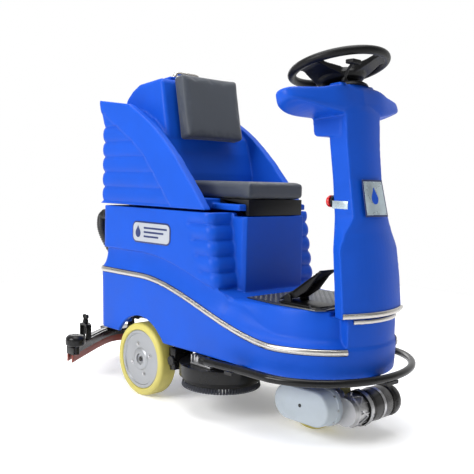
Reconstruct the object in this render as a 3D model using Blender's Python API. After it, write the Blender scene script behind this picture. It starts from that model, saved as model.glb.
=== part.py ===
"""Ride-on floor scrubber: an assembly of separate parts, in metres, +X forward, +Y left, +Z up.

Positions are worked out from the rear axle (x = 0) and the centre plane (y = 0), and the whole assembly
hangs from one empty that moves the middle of its length to the origin.
"""

import math

import bmesh
import bpy
from mathutils import Matrix, Vector

# Overall layout, measured from the rear axle
MIDDLE_X = 0.19875
GAP = 0.0004

# Main body
BODY_HALF_WIDTH = 0.262
BODY_REAR_X = -0.286
BODY_BOTTOM_Z = 0.227
NOSE_CENTRE_X = 0.66
REAR_CORNER = 0.05
FLOOR_Z = 0.435
COLUMN_SEAT_Z = 0.418
BOX_TOP_Z = 0.722
BOX_REAR_X = -0.280
BLOCK_FRONT_X = 0.455
BLOCK_HALF_WIDTH = 0.155
BLOCK_TOP_Z = 0.710
SCALLOP_PITCH = 0.0545
SCALLOP_TOP_Z = 0.735
SCALLOP_DEPTH = 0.009
WALL = 0.006
BAY_TOP_Z = 0.330

# Running gear
REAR_WHEEL_RADIUS = 0.140
REAR_WHEEL_WIDTH = 0.075
ARCH_RADIUS = 0.168
AXLE_RADIUS = 0.010
DRIVE_X = 0.671
DRIVE_WHEEL_RADIUS = 0.117
DRIVE_WHEEL_HALF_WIDTH = 0.044
MOTOR_X = 0.850
MOTOR_Z = 0.108
MOTOR_RADIUS = 0.054
TURNTABLE_Z = 0.256

# Recovery tank and seat
TANK_BOTTOM_Z = 0.730
WING_THICKNESS = 0.032
TANK_HINGE = (-0.283, 0.726)
SEAT_LENGTH = 0.345
SEAT_WIDTH = 0.280
SEAT_THICKNESS = 0.062
SEAT_FRONT_X = 0.457
SEAT_BOTTOM_Z = 0.7695
BACK_WIDTH = 0.285
BACK_HEIGHT = 0.246
BACK_THICKNESS = 0.066
BACK_TILT = math.radians(11.5)
BACK_CENTRE = (0.0775, 1.108)

# Steering
WHEEL_CENTRE = (0.715, 1.210)
WHEEL_TILT = math.radians(14.4)
RIM_RADIUS = 0.155
RIM_TUBE = 0.014
SPOKE_ANGLES = (26, 146, 266)

# Brush deck and squeegee, both raised
BRUSH_X = 0.345
BRUSH_Y = 0.148
BRUSH_RADIUS = 0.142
BRUSH_BOTTOM_Z = 0.100
DECK_BOTTOM_Z = 0.122
SQUEEGEE_APEX_X = -0.538
SQUEEGEE_HALF_WIDTH = 0.372
SQUEEGEE_SWEEP = 0.75
ROLLER_Y = 0.350
KNOB_Y = 0.240
BLADE_BOTTOM_Z = 0.082
ARM_PIVOT = (-0.235, 0.262)
HEAD_PIVOT = (-0.500, 0.190)

# Bumper
BUMPER_Z = 0.236
BUMPER_TUBE = 0.0125
BUMPER_FRONT_X = 0.970

FINE = 24

# Controls: pedal pin (x, z), stop button centre (y, z) and lever pivot (x, y, z)
PEDAL_PIN = (0.672, 0.462)
STOP_CENTRE = (-0.045, 0.775)
LEVER_PIVOT = (0.800, -0.075, 1.1562)

# Lid hinge (x, z) and the slope of the tank's top
LID_HINGE = (-0.124, 1.2045)
LID_SLOPE = math.atan2(0.013, 0.123)

# Column sections
COLUMN_LEVELS = (
    # height, rear x, rear half width, front corner x, front half width, bow of the front face
    (0.4185, 0.842, 0.140, 0.890, 0.157, 0.040),
    (0.535, 0.826, 0.132, 0.879, 0.155, 0.036),
    (0.630, 0.812, 0.125, 0.865, 0.153, 0.032),
    (0.680, 0.800, 0.108, 0.862, 0.125, 0.026),
    (0.728, 0.786, 0.090, 0.868, 0.091, 0.018),
    (0.850, 0.765, 0.080, 0.843, 0.084, 0.014),
    (0.960, 0.748, 0.080, 0.829, 0.087, 0.012),
    (1.060, 0.738, 0.080, 0.822, 0.090, 0.012),
    (1.150, 0.735, 0.075, 0.792, 0.086, 0.010),
)


def clear_scene():
    for old in list(bpy.data.objects):
        bpy.data.objects.remove(old, do_unlink=True)


def material(name, colour, roughness=0.5, metallic=0.0):
    """A Principled material of one colour."""
    made = bpy.data.materials.new(name)
    made.use_nodes = True
    shader = made.node_tree.nodes["Principled BSDF"]
    shader.inputs["Base Color"].default_value = (*colour, 1.0)
    shader.inputs["Roughness"].default_value = roughness
    shader.inputs["Metallic"].default_value = metallic
    return made


PLACES = {}


def pivot(name, position, parent=None):
    """An empty on a joint's axis; position counts from the rear axle."""
    empty = bpy.data.objects.new(name, None)
    bpy.context.collection.objects.link(empty)
    PLACES[name] = Vector(position)
    empty.parent = parent
    empty.location = PLACES[name] - (PLACES[parent.name] if parent else Vector())
    return empty


def add(name, bm, colour, parent, smooth=True):
    """Turns a bmesh drawn from the rear axle into a named object under its pivot."""
    bmesh.ops.recalc_face_normals(bm, faces=bm.faces)
    mesh = bpy.data.meshes.new(name)
    bm.to_mesh(mesh)
    bm.free()
    obj = bpy.data.objects.new(name, mesh)
    bpy.context.collection.objects.link(obj)
    mesh.materials.append(COLOURS[colour])
    obj.parent = parent
    obj.location = -PLACES[parent.name]
    if smooth:
        mesh.shade_smooth()
        mesh.set_sharp_from_angle(angle=math.radians(35))
    return obj


def boolean(target, bm, operation):
    """Adds a Boolean with a hidden tool object made from bm."""
    number = len(target.modifiers)
    tool = add(f"{target.name}_tool_{number}", bm, "steel", target.parent, smooth=False)
    tool.hide_render = True
    tool.display_type = "WIRE"
    modifier = target.modifiers.new(f"{operation.lower()}_{number}", "BOOLEAN")
    modifier.object = tool
    modifier.operation = operation
    modifier.solver = "EXACT"
    return target


def cut(target, bm):
    return boolean(target, bm, "DIFFERENCE")


def join(target, bm):
    return boolean(target, bm, "UNION")


def loft(rings):
    """A closed solid through equal rings of points, with flat ends."""
    bm = bmesh.new()
    rows = [[bm.verts.new(point) for point in ring] for ring in rings]
    for low, high in zip(rows, rows[1:]):
        for i, corner in enumerate(low):
            j = (i + 1) % len(low)
            bm.faces.new((corner, low[j], high[j], high[i]))
    bm.faces.new(rows[0])
    bm.faces.new(rows[-1])
    return bm


def mirrored_loft(half_rings):
    """As loft, for half rings that start and end on the centre plane."""
    bm = bmesh.new()
    rows = []
    for half in half_rings:
        other = [(x, -y, z) for x, y, z in half[-2:0:-1]]
        rows.append([bm.verts.new(point) for point in list(half) + other])
    count = len(rows[0])
    for low, high in zip(rows, rows[1:]):
        for i in range(count):
            j = (i + 1) % count
            bm.faces.new((low[i], low[j], high[j], high[i]))
    ends = [bm.faces.new(row) for row in (rows[0], rows[-1])]
    bmesh.ops.triangulate(bm, faces=ends)
    return bm


def box(low, high):
    """A block between two corners."""
    (x0, y0, z0), (x1, y1, z1) = low, high
    return loft([[(x0, y0, z), (x1, y0, z), (x1, y1, z), (x0, y1, z)] for z in (z0, z1)])


def slab(outline, low, high, axis="Y"):
    """An outline extruded along an axis: (x, z) points along Y, (x, y) points along Z, (y, z) along X."""
    place = {
        "X": lambda a, b, t: (t, a, b),
        "Y": lambda a, b, t: (a, t, b),
        "Z": lambda a, b, t: (a, b, t),
    }[axis]
    return loft([[place(a, b, t) for a, b in outline] for t in (low, high)])


def turned(profile, centre, axis="Y", steps=FINE):
    """A solid of revolution: profile is (along, radius) pairs from one end to the other."""
    bm = bmesh.new()
    rows = []
    for along, radius in profile:
        ring = []
        for i in range(steps):
            turn = 2 * math.pi * i / steps
            a, b = radius * math.cos(turn), radius * math.sin(turn)
            offset = {"X": (along, a, b), "Y": (a, along, b), "Z": (a, b, along)}[axis]
            ring.append(bm.verts.new(Vector(centre) + Vector(offset)))
        rows.append(ring)
    for low, high in zip(rows, rows[1:]):
        for i in range(steps):
            j = (i + 1) % steps
            bm.faces.new((low[i], low[j], high[j], high[i]))
    bm.faces.new(rows[0])
    bm.faces.new(rows[-1])
    return bm


def ring_turned(profile, centre, axis="Y", steps=FINE):
    """A solid of revolution with a bore: profile is a closed loop of (along, radius) pairs."""
    bm = bmesh.new()
    rows = []
    for i in range(steps):
        turn = 2 * math.pi * i / steps
        ring = []
        for along, radius in profile:
            a, b = radius * math.cos(turn), radius * math.sin(turn)
            offset = {"X": (along, a, b), "Y": (a, along, b), "Z": (a, b, along)}[axis]
            ring.append(bm.verts.new(Vector(centre) + Vector(offset)))
        rows.append(ring)
    for i, low in enumerate(rows):
        high = rows[(i + 1) % steps]
        for k in range(len(profile)):
            m = (k + 1) % len(profile)
            bm.faces.new((low[k], low[m], high[m], high[k]))
    return bm


def swept(path, radius, sides=10):
    """A round bar along a list of points, with flat ends."""
    points = [Vector(point) for point in path]
    rings = []
    side = None
    for i, point in enumerate(points):
        ahead = points[min(i + 1, len(points) - 1)] - points[max(i - 1, 0)]
        ahead.normalize()
        if side is None:
            side = ahead.orthogonal().normalized()
        side = (side - ahead * side.dot(ahead)).normalized()
        up = ahead.cross(side)
        ring = []
        for k in range(sides):
            turn = 2 * math.pi * k / sides
            ring.append(point + radius * (math.cos(turn) * side + math.sin(turn) * up))
        rings.append(ring)
    return loft(rings)


def moved(bm, matrix):
    bmesh.ops.transform(bm, matrix=matrix, verts=bm.verts)
    return bm


def rounded(bm, width, segments=2):
    """Bevels every edge of a plain solid."""
    bmesh.ops.bevel(
        bm,
        geom=list(bm.edges),
        offset=width,
        segments=segments,
        profile=0.6,
        affect="EDGES",
    )
    return bm


def arc(centre, radius, start, end, steps):
    """Points (a, b) on an arc, angles in degrees."""
    points = []
    for i in range(steps + 1):
        turn = math.radians(start + (end - start) * i / steps)
        points.append((centre[0] + radius * math.cos(turn), centre[1] + radius * math.sin(turn)))
    return points


def smoothstep(value, low, high):
    t = min(max((value - low) / (high - low), 0.0), 1.0)
    return t * t * (3 - 2 * t)


# Main body


def strip_z(x):
    """Height of the chrome strip: level at the rear, then dropping to the nose."""
    return 0.468 - 0.150 * smoothstep(x, 0.0, 0.72)


def crease_z(x):
    """Height of the line where the concave band under the box and footwell ends."""
    return strip_z(x) + 0.084 - 0.048 * smoothstep(x, 0.50, 0.70)


def band_inset(x, rear_share):
    """How far the concave band steps in: most at the rear end and beside the footwell."""
    return 0.012 + 0.024 * rear_share + 0.022 * smoothstep(x, 0.38, 0.52)


def body_stations(corner_steps=4, nose_steps=8):
    """Half of the plan outline from rear centre to nose tip: (x, y, nx, ny, rear share)."""
    half = BODY_HALF_WIDTH
    stations = [(BODY_REAR_X, 0.0, -1.0, 0.0, 1.0)]
    cx, cy = BODY_REAR_X + REAR_CORNER, half - REAR_CORNER
    for i in range(corner_steps + 1):
        turn = math.pi - 0.5 * math.pi * i / corner_steps
        nx, ny = math.cos(turn), math.sin(turn)
        stations.append((cx + REAR_CORNER * nx, cy + REAR_CORNER * ny, nx, ny, 1 - i / corner_steps))
    for x in (-0.14, 0.0, 0.10, 0.20, 0.29, 0.37, 0.43, 0.49, 0.55, 0.60):
        stations.append((x, half, 0.0, 1.0, 0.0))
    for i in range(nose_steps + 1):
        turn = 0.5 * math.pi * (1 - i / nose_steps)
        nx, ny = math.cos(turn), math.sin(turn)
        stations.append((NOSE_CENTRE_X + half * nx, half * ny, nx, ny, 0.0))
    stations[-1] = (NOSE_CENTRE_X + half, 0.0, 1.0, 0.0, 0.0)
    return stations


def inset(station, distance):
    x, y, nx, ny, _ = station
    return x - distance * nx, max(y - distance * ny, 0.0)


def skirt():
    """The skirt, the concave band over it and the footwell wall, up to the floor."""
    rows = [[] for _ in range(7)]
    for station in body_stations():
        x = station[0]
        strip, crease = strip_z(x), crease_z(x)
        if x > 0.46:
            crease = min(crease, FLOOR_Z - 0.008)
        step = band_inset(x, station[4])
        lean = 0.014 * smoothstep(x, 0.44, 0.52)
        top = max(FLOOR_Z, crease + 0.006)
        levels = [
            (BODY_BOTTOM_Z, 0.0),
            (strip - 0.014, -0.004),
            (strip + 0.003, -0.004),
            (strip + 0.010, 0.002),
            (strip + 0.45 * (crease - strip), 0.8 * step),
            (crease, step),
            (top, step + lean),
        ]
        for row, (z, distance) in zip(rows, levels):
            row.append((*inset(station, distance), z))
    return mirrored_loft(rows)


def scallop(z):
    """1 on the crest of a moulded bulge, 0 in the groove between two."""
    place = ((SCALLOP_TOP_Z - z) / SCALLOP_PITCH) % 1.0
    return math.sqrt(max(1.0 - (2 * place - 1) ** 2, 0.0))


def box_ring(z, corner_steps=4):
    """Half plan outline of the battery box at a height."""
    half = BODY_HALF_WIDTH
    front = 0.393 + 0.17 * (0.70 - z)
    bulge = SCALLOP_DEPTH * (scallop(z) - 1)
    ring = [(BOX_REAR_X, 0.0, z)]
    for a, b in arc((BOX_REAR_X + REAR_CORNER, half - REAR_CORNER), REAR_CORNER, 180, 90, corner_steps):
        ring.append((a, b, z))
    ring.append((0.22, half, z))
    radius = 0.035
    for a, b in arc((front - radius, half - radius), radius + bulge, 90, 0, corner_steps):
        ring.append((a, b, z))
    ring.append((front + bulge, BLOCK_HALF_WIDTH + 0.004, z))
    ring.append((max(BLOCK_FRONT_X - 0.012, front + 0.001), BLOCK_HALF_WIDTH, z))
    ring.append((BLOCK_FRONT_X, BLOCK_HALF_WIDTH - 0.012, z))
    ring.append((BLOCK_FRONT_X, 0.0, z))
    return ring


def battery_box():
    """The box under the tank: scalloped front corners and a square block between them."""
    heights = [BOX_TOP_Z]
    groove = SCALLOP_TOP_Z
    while groove > 0.47:
        heights.append(groove - SCALLOP_PITCH / 2)
        heights.append(groove - SCALLOP_PITCH)
        groove -= SCALLOP_PITCH
    heights = [z for z in heights if z <= BOX_TOP_Z] + [0.44]
    return mirrored_loft([box_ring(z) for z in sorted(set(heights))])


def below_crease():
    """Cutter under the curved lower edge of the battery box."""
    xs = [BOX_REAR_X - 0.02, 0.0, 0.08, 0.16, 0.24, 0.32, 0.40, 0.48]
    curve = [(x, crease_z(x) + 0.002) for x in xs]
    return slab([(xs[0], 0.40), *curve, (xs[-1], 0.40)], -0.30, 0.30)


def main_body(parent):
    """Moulded lower body with battery box, open below and over the batteries."""
    box_part = add("battery_box_shape", battery_box(), "blue", parent)
    box_part.hide_render = True
    box_part.display_type = "WIRE"
    cut(box_part, below_crease())
    body = add("main_body", skirt(), "blue", parent)
    modifier = body.modifiers.new("battery_box", "BOOLEAN")
    modifier.object = box_part
    modifier.operation = "UNION"
    nose = arc((NOSE_CENTRE_X, 0.0), BODY_HALF_WIDTH - 0.0005, -29, 29, 8)
    join(body, slab([(0.80, -0.10), *nose, (0.80, 0.10)], BODY_BOTTOM_Z + 0.004, 0.43, "Z"))
    cut(body, box((0.825, -0.163, COLUMN_SEAT_Z), (0.98, 0.163, 0.50)))
    for side in (-1, 1):
        arch = turned([(0.17, ARCH_RADIUS), (0.30, ARCH_RADIUS)], (0, 0, REAR_WHEEL_RADIUS), steps=30)
        cut(body, moved(arch, Matrix.Scale(side, 4, (0, 1, 0))))
    cut(body, box((-0.268, -0.245, 0.20), (0.62, 0.245, BAY_TOP_Z)))
    front_bay = arc((NOSE_CENTRE_X, 0.0), 0.215, -62, 62, 8)
    cut(body, slab([(0.465, -0.19), *front_bay, (0.465, 0.19)], 0.20, 0.408, "Z"))
    battery_bay = [(-0.238, -0.205), (-0.220, -0.243), (0.365, -0.243), (0.365, 0.243), (-0.220, 0.243),
                   (-0.238, 0.205)]
    cut(body, slab(battery_bay, BAY_TOP_Z + 0.008, 0.80, "Z"))
    cut(body, box((0.30, -0.140, 0.45), (BLOCK_FRONT_X - 0.008, 0.140, 0.80)))
    cut(body, box((0.4, -0.18, BLOCK_TOP_Z), (0.50, 0.18, 0.80)))
    cut(body, turned([(0.40, 0.024), (0.45, 0.024)], (0.852, 0, 0), "Z", 16))
    cut(body, box((-0.30, -0.105, 0.20), (-0.26, 0.105, 0.285)))
    return body


def side_trim(side):
    """Chrome strip along the skirt, from the rear corner to the nose."""
    stations = [s for s in body_stations() if s[1] > 0.12 and s[0] > BODY_REAR_X + 0.012]
    rings = []
    for station in stations:
        z = strip_z(station[0])
        ring = []
        for distance, height in ((-0.0044, -0.011), (-0.0085, -0.009), (-0.0085, 0.0005),
                                 (-0.0044, 0.0025)):
            x, y = inset(station, distance)
            ring.append((x, side * y, z + height))
        rings.append(ring)
    return loft(rings)


def arc_trim(radius, centre_x, spread, z0, z1, thickness):
    """A curved strip in front of a rounded face."""
    outer = arc((centre_x, 0.0), radius + thickness, -spread, spread, 8)
    inner = arc((centre_x, 0.0), radius, spread, -spread, 8)
    return slab(outer + inner, z0, z1, "Z")


# Steering column and console


def column_ring(level, shrink=0.0):
    z, rear, rear_half, front, front_half, bow = level
    half = [
        (rear + shrink, 0.0),
        (rear + shrink, rear_half - shrink),
        (front - shrink, front_half - shrink),
        (front + 0.75 * bow - shrink, 0.5 * front_half),
        (front + bow - shrink, 0.0),
    ]
    return [(x, y, z) for x, y in half]


def console_rings(shrink=0.0):
    """Half outlines of the console's underside and top; the ends sweep back and up."""
    low = [
        (0.668, 0.000, 1.040), (0.668, 0.190, 1.040), (0.692, 0.255, 1.052), (0.735, 0.284, 1.078),
        (0.777, 0.280, 1.083), (0.829, 0.100, 1.048), (0.836, 0.000, 1.048),
    ]
    high = [
        (0.664, 0.000, 1.108), (0.664, 0.195, 1.108), (0.684, 0.262, 1.112), (0.716, 0.288, 1.122),
        (0.754, 0.282, 1.131), (0.805, 0.110, 1.142), (0.812, 0.000, 1.145),
    ]
    rings = []
    for ring, lift in ((low, shrink), (high, -shrink)):
        middle = Vector((0.740, 0.0))
        points = []
        for x, y, z in ring:
            away = Vector((x, y)) - middle
            scale = 1 - shrink / max(away.length, 0.05)
            points.append((middle.x + away.x * scale, y * scale, z + lift))
        rings.append(points)
    return rings


def on_wheel_axis(along, offset=(0.0, 0.0)):
    """A point on the steering axis, measured from the wheel's centre towards the driver."""
    normal = Vector((-math.sin(WHEEL_TILT), 0, math.cos(WHEEL_TILT)))
    ahead = Vector((math.cos(WHEEL_TILT), 0, math.sin(WHEEL_TILT)))
    centre = Vector((WHEEL_CENTRE[0], 0, WHEEL_CENTRE[1]))
    return centre + along * normal + offset[0] * ahead + Vector((0, offset[1], 0))


def wheel_frame():
    """Turns things drawn about Z at the origin onto the steering axis."""
    return Matrix.Translation(on_wheel_axis(0.0)) @ Matrix.Rotation(-WHEEL_TILT, 4, "Y")


def steering_column(parent):
    """Column and console in one hollow moulding, open at the foot."""
    column = add("steering_column", mirrored_loft([column_ring(level) for level in COLUMN_LEVELS]),
                 "blue", parent)
    join(column, mirrored_loft(console_rings()))
    join(column, box((0.703, -0.075, 0.976), (0.800, 0.075, 1.06)))
    inner = [column_ring(level, 0.005) for level in COLUMN_LEVELS[:-1]]
    inner[0] = [(x, y, z - 0.02) for x, y, z in inner[0]]
    cut(column, mirrored_loft(inner))
    cut(column, mirrored_loft(console_rings(0.006)))
    cut(column, moved(turned([(-0.30, 0.0165), (0.0, 0.0165)], (0, 0, 0), "Z", 16), wheel_frame()))
    cut(column, moved(box((-0.070, -0.062, -0.0840), (0.066, 0.062, 0.0)), wheel_frame()))
    cowl = ring_turned([(-0.0835, 0.058), (-0.0700, 0.056), (-0.0605, 0.044), (-0.0605, 0.0165),
                        (-0.0835, 0.0165)],
                       (0, 0, 0), "Z", 20)
    add("steering_cowl", moved(cowl, wheel_frame()), "black", parent)
    cut(column, turned([(0.70, 0.0126), (0.80, 0.0126)], (0, -0.045, 0.775), "X", 16))
    return column


def front_plate():
    """Framed metal plate on the column's front."""
    plate = [(0.058, 0.0), (-0.058, 0.0), (-0.052, 0.119), (0.052, 0.119)]
    lean = math.atan2(0.027, 0.119)
    bm = slab([(y, z) for y, z in plate], -0.0015, 0.0015, "X")
    place = Matrix.Translation((0.8905, 0, 0.731)) @ Matrix.Rotation(-lean, 4, "Y")
    return moved(bm, place)


def steering_wheel(turning):
    """Rim, dished hub with three spokes, and the shaft down into the column."""
    rim = ring_turned(arc((0.0, RIM_RADIUS), RIM_TUBE, 0, 315, 7), (0, 0, 0), "Z", 28)
    add("steering_rim", moved(rim, wheel_frame()), "black", turning)
    hub = add("steering_hub", moved(turned([(-0.058, 0.026), (-0.050, 0.040), (-0.022, 0.046),
                                            (-0.012, 0.030)], (0, 0, 0), "Z", 16), wheel_frame()),
              "black", turning)
    for angle in SPOKE_ANGLES:
        outer = RIM_RADIUS - RIM_TUBE - 0.0020
        spoke = loft([
            [(0.020, -0.024, -0.044), (0.020, 0.024, -0.044), (0.020, 0.024, -0.026),
             (0.020, -0.024, -0.026)],
            [(0.085, -0.017, -0.030), (0.085, 0.017, -0.030), (0.085, 0.017, -0.018),
             (0.085, -0.017, -0.018)],
            [(outer, -0.013, -0.005), (outer, 0.013, -0.005), (outer, 0.013, 0.005),
             (outer, -0.013, 0.005)],
        ])
        join(hub, moved(spoke, wheel_frame() @ Matrix.Rotation(math.radians(angle), 4, "Z")))
    shaft = turned([(-0.340, 0.011), (-0.0585, 0.011)], (0, 0, 0), "Z", 12)
    add("steering_shaft", moved(shaft, wheel_frame()), "steel", turning)


# Recovery tank, lid, seat


def tank_rear_edge():
    """The tank's stepped rear edge from bottom to top, as (x, z)."""
    points = [(-0.300, TANK_BOTTOM_Z), (-0.276, 0.742)]
    groove = 0.742
    while groove < 1.03:
        points.append((-0.292, groove + 0.030))
        points.append((-0.277, groove + 0.060))
        groove += 0.060
    return points + [(-0.296, 1.075), (-0.314, 1.128), (-0.306, 1.142)]


def wing_outline():
    """Side outline of a tank wing: flat top, then a long curve down to the seat front."""
    front = [
        (-0.104, 1.118), (-0.020, 1.075), (0.081, 1.012), (0.160, 0.948), (0.226, 0.883),
        (0.284, 0.821), (0.335, 0.764), (0.363, TANK_BOTTOM_Z),
    ]
    return tank_rear_edge() + front


def recovery_tank(parent):
    """Hollow tank: two wings, the tub between them, and the raised back behind the seat."""
    half = BODY_HALF_WIDTH
    inner = half - WING_THICKNESS
    tank = add("recovery_tank", slab(wing_outline(), -half, -inner), "blue", parent)
    join(tank, slab(wing_outline(), inner, half))
    tub = tank_rear_edge()[:-1] + [(-0.18, 1.118), (-0.02, 1.060), (0.050, 1.000), (0.092, 0.860),
                                   (0.100, 0.7685), (0.30, 0.7685), (0.30, TANK_BOTTOM_Z)]
    join(tank, slab(tub, -inner - 0.002, inner + 0.002))
    tower = [(-0.24, 1.04), (-0.235, 1.120), (-0.150, 1.180), (-0.125, 1.204), (-0.002, 1.217),
             (0.012, 1.212), (0.058, 0.985), (0.02, 0.95)]
    join(tank, slab(tower, -0.186, 0.186))
    join(tank, box((0.25, -0.170, TANK_BOTTOM_Z), (0.440, 0.170, 0.752)))
    cavity = [(-0.262, 0.740), (0.088, 0.740), (0.040, 0.985), (-0.03, 1.03), (-0.16, 1.095),
              (-0.262, 1.105)]
    cut(tank, slab(cavity, -0.222, 0.222))
    upper = [(-0.20, 1.05), (-0.20, 1.125), (-0.140, 1.170), (-0.118, 1.198), (-0.004, 1.209),
             (0.040, 0.995), (0.00, 0.98)]
    cut(tank, slab(upper, -0.178, 0.178))
    cut(tank, box((-0.105, -0.115, 1.17), (-0.020, 0.115, 1.24)))
    return tank


def lid_frame():
    return Matrix.Translation((LID_HINGE[0], 0, LID_HINGE[1])) @ Matrix.Rotation(-LID_SLOPE, 4, "Y")


def tank_lid(parent):
    lid = rounded(box((0.002, -0.130, 0.0012), (0.119, 0.130, 0.0125)), 0.003, 1)
    add("tank_lid", moved(lid, lid_frame()), "blue", parent)
    path = [(0.062, -0.062, 0.0135), (0.062, -0.060, 0.034), (0.062, -0.048, 0.043),
            (0.062, 0.048, 0.043), (0.062, 0.060, 0.034), (0.062, 0.062, 0.0135)]
    add("lid_handle", moved(swept(path, 0.008, 8), lid_frame()), "grey", parent)


def seat(parent):
    low = (SEAT_FRONT_X - SEAT_LENGTH, -SEAT_WIDTH / 2, SEAT_BOTTOM_Z)
    high = (SEAT_FRONT_X, SEAT_WIDTH / 2, SEAT_BOTTOM_Z + SEAT_THICKNESS)
    add("seat_cushion", rounded(box(low, high), 0.014), "cushion", parent)
    half = (BACK_THICKNESS / 2, BACK_WIDTH / 2, BACK_HEIGHT / 2)
    back = rounded(box([-h for h in half], half), 0.014)
    frame = Matrix.Translation((BACK_CENTRE[0], 0, BACK_CENTRE[1]))
    add("backrest", moved(back, frame @ Matrix.Rotation(-BACK_TILT, 4, "Y")), "cushion", parent)
    base = [(0.306, 0.7525), (0.4405, 0.7525), (0.4405, 0.7125), (0.452, 0.7125), (0.452, 0.7690),
            (0.306, 0.7690)]
    add("seat_base", slab(base, -0.138, 0.138), "black", parent)


# Running gear


def rear_wheel(name, side, parent):
    """A tyre and hub on the rear axle."""
    outer = BODY_HALF_WIDTH
    inner = outer - REAR_WHEEL_WIDTH
    tyre = [(inner, 0.100), (inner, 0.132), (inner + 0.008, REAR_WHEEL_RADIUS),
            (outer - 0.010, REAR_WHEEL_RADIUS), (outer, 0.130), (outer, 0.112), (outer - 0.012, 0.1085),
            (outer - 0.012, 0.100)]
    add(f"rear_tyre_{name}", ring_turned([(side * a, r) for a, r in tyre], (0, 0, REAR_WHEEL_RADIUS),
                                         steps=32), "tyre", parent)
    rim = 0.0992
    hub = [(inner + 0.004, AXLE_RADIUS + GAP), (inner + 0.004, 0.034), (inner + 0.030, 0.036),
           (inner + 0.030, 0.090), (inner + 0.004, 0.093), (inner + 0.004, rim), (outer - 0.006, rim),
           (outer - 0.006, 0.092), (outer - 0.018, 0.088), (outer - 0.018, 0.040), (outer - 0.008, 0.036),
           (outer - 0.008, AXLE_RADIUS + GAP)]
    add(f"rear_hub_{name}", ring_turned([(side * a, r) for a, r in hub], (0, 0, REAR_WHEEL_RADIUS)),
        "aluminium", parent)


def chassis_frame(parent):
    """Welded frame: two rails, cross members, axle plates, bumper arms and squeegee lugs."""
    frame = add("chassis_frame", box((-0.255, -0.135, 0.262), (0.60, -0.105, 0.300)), "frame", parent)
    join(frame, box((-0.255, 0.105, 0.262), (0.60, 0.135, 0.300)))
    for x in (-0.200, 0.02, 0.17, 0.50):
        join(frame, box((x, -0.120, 0.266), (x + 0.030, 0.120, 0.296)))
    join(frame, box((0.545, -0.150, 0.288), (0.790, 0.150, 0.298)))
    join(frame, box((0.780, -0.080, 0.2882), (0.850, 0.080, 0.2978)))
    for side in (-1, 1):
        plate = [(-0.040, 0.28), (-0.022, 0.118), (0.022, 0.118), (0.040, 0.28)]
        y = side * 0.130
        join(frame, slab(plate, y - 0.005, y + 0.005))
        lug = [(-0.262, 0.285), (-0.262, 0.245), (-0.215, 0.245), (-0.215, 0.285)]
        join(frame, slab(lug, side * 0.110 - 0.005, side * 0.110 + 0.005))
        near, far = sorted((side * 0.118, side * 0.330))
        join(frame, box((0.555, near, 0.2115), (0.590, far, 0.2225)))
        near, far = sorted((side * 0.118, side * 0.130))
        join(frame, box((0.555, near, 0.2120), (0.590, far, 0.2900)))
    join(frame, box((0.850, -0.030, 0.2115), (0.862, 0.030, 0.2970)))
    join(frame, box((0.851, -0.030, 0.2115), (0.975, 0.030, 0.2225)))
    hole = AXLE_RADIUS + GAP
    cut(frame, turned([(-0.15, hole), (0.15, hole)], (0, 0, REAR_WHEEL_RADIUS), steps=12))
    cut(frame, turned([(0.28, 0.030), (0.31, 0.030)], (DRIVE_X, 0, 0), "Z"))
    cut(frame, turned([(-0.14, 0.0085), (0.14, 0.0085)], (ARM_PIVOT[0], 0, ARM_PIVOT[1]), steps=12))
    return frame


def bumper(parent):
    """Round guard rail in front of and beside the body, on the frame's arms."""
    half = 0.322
    turn_x = 0.705
    path = [(0.455, -half - 0.012), (0.52, -half - 0.008), (0.61, -half)]
    path += [(turn_x + (BUMPER_FRONT_X - turn_x) * math.cos(a), half * math.sin(a))
             for a in [math.radians(-82 + 164 * i / 14) for i in range(15)]]
    path += [(x, -y) for x, y in path[2::-1]]
    add("bumper", swept([(x, y, BUMPER_Z) for x, y in path], BUMPER_TUBE, 8), "black", parent)


def stadium(x0, x1, z, radius, steps=6):
    """Outline (x, z) of a slot shape between two centres."""
    return arc((x0, z), radius, 90, 270, steps) + arc((x1, z), radius, -90, 90, steps)


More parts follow.
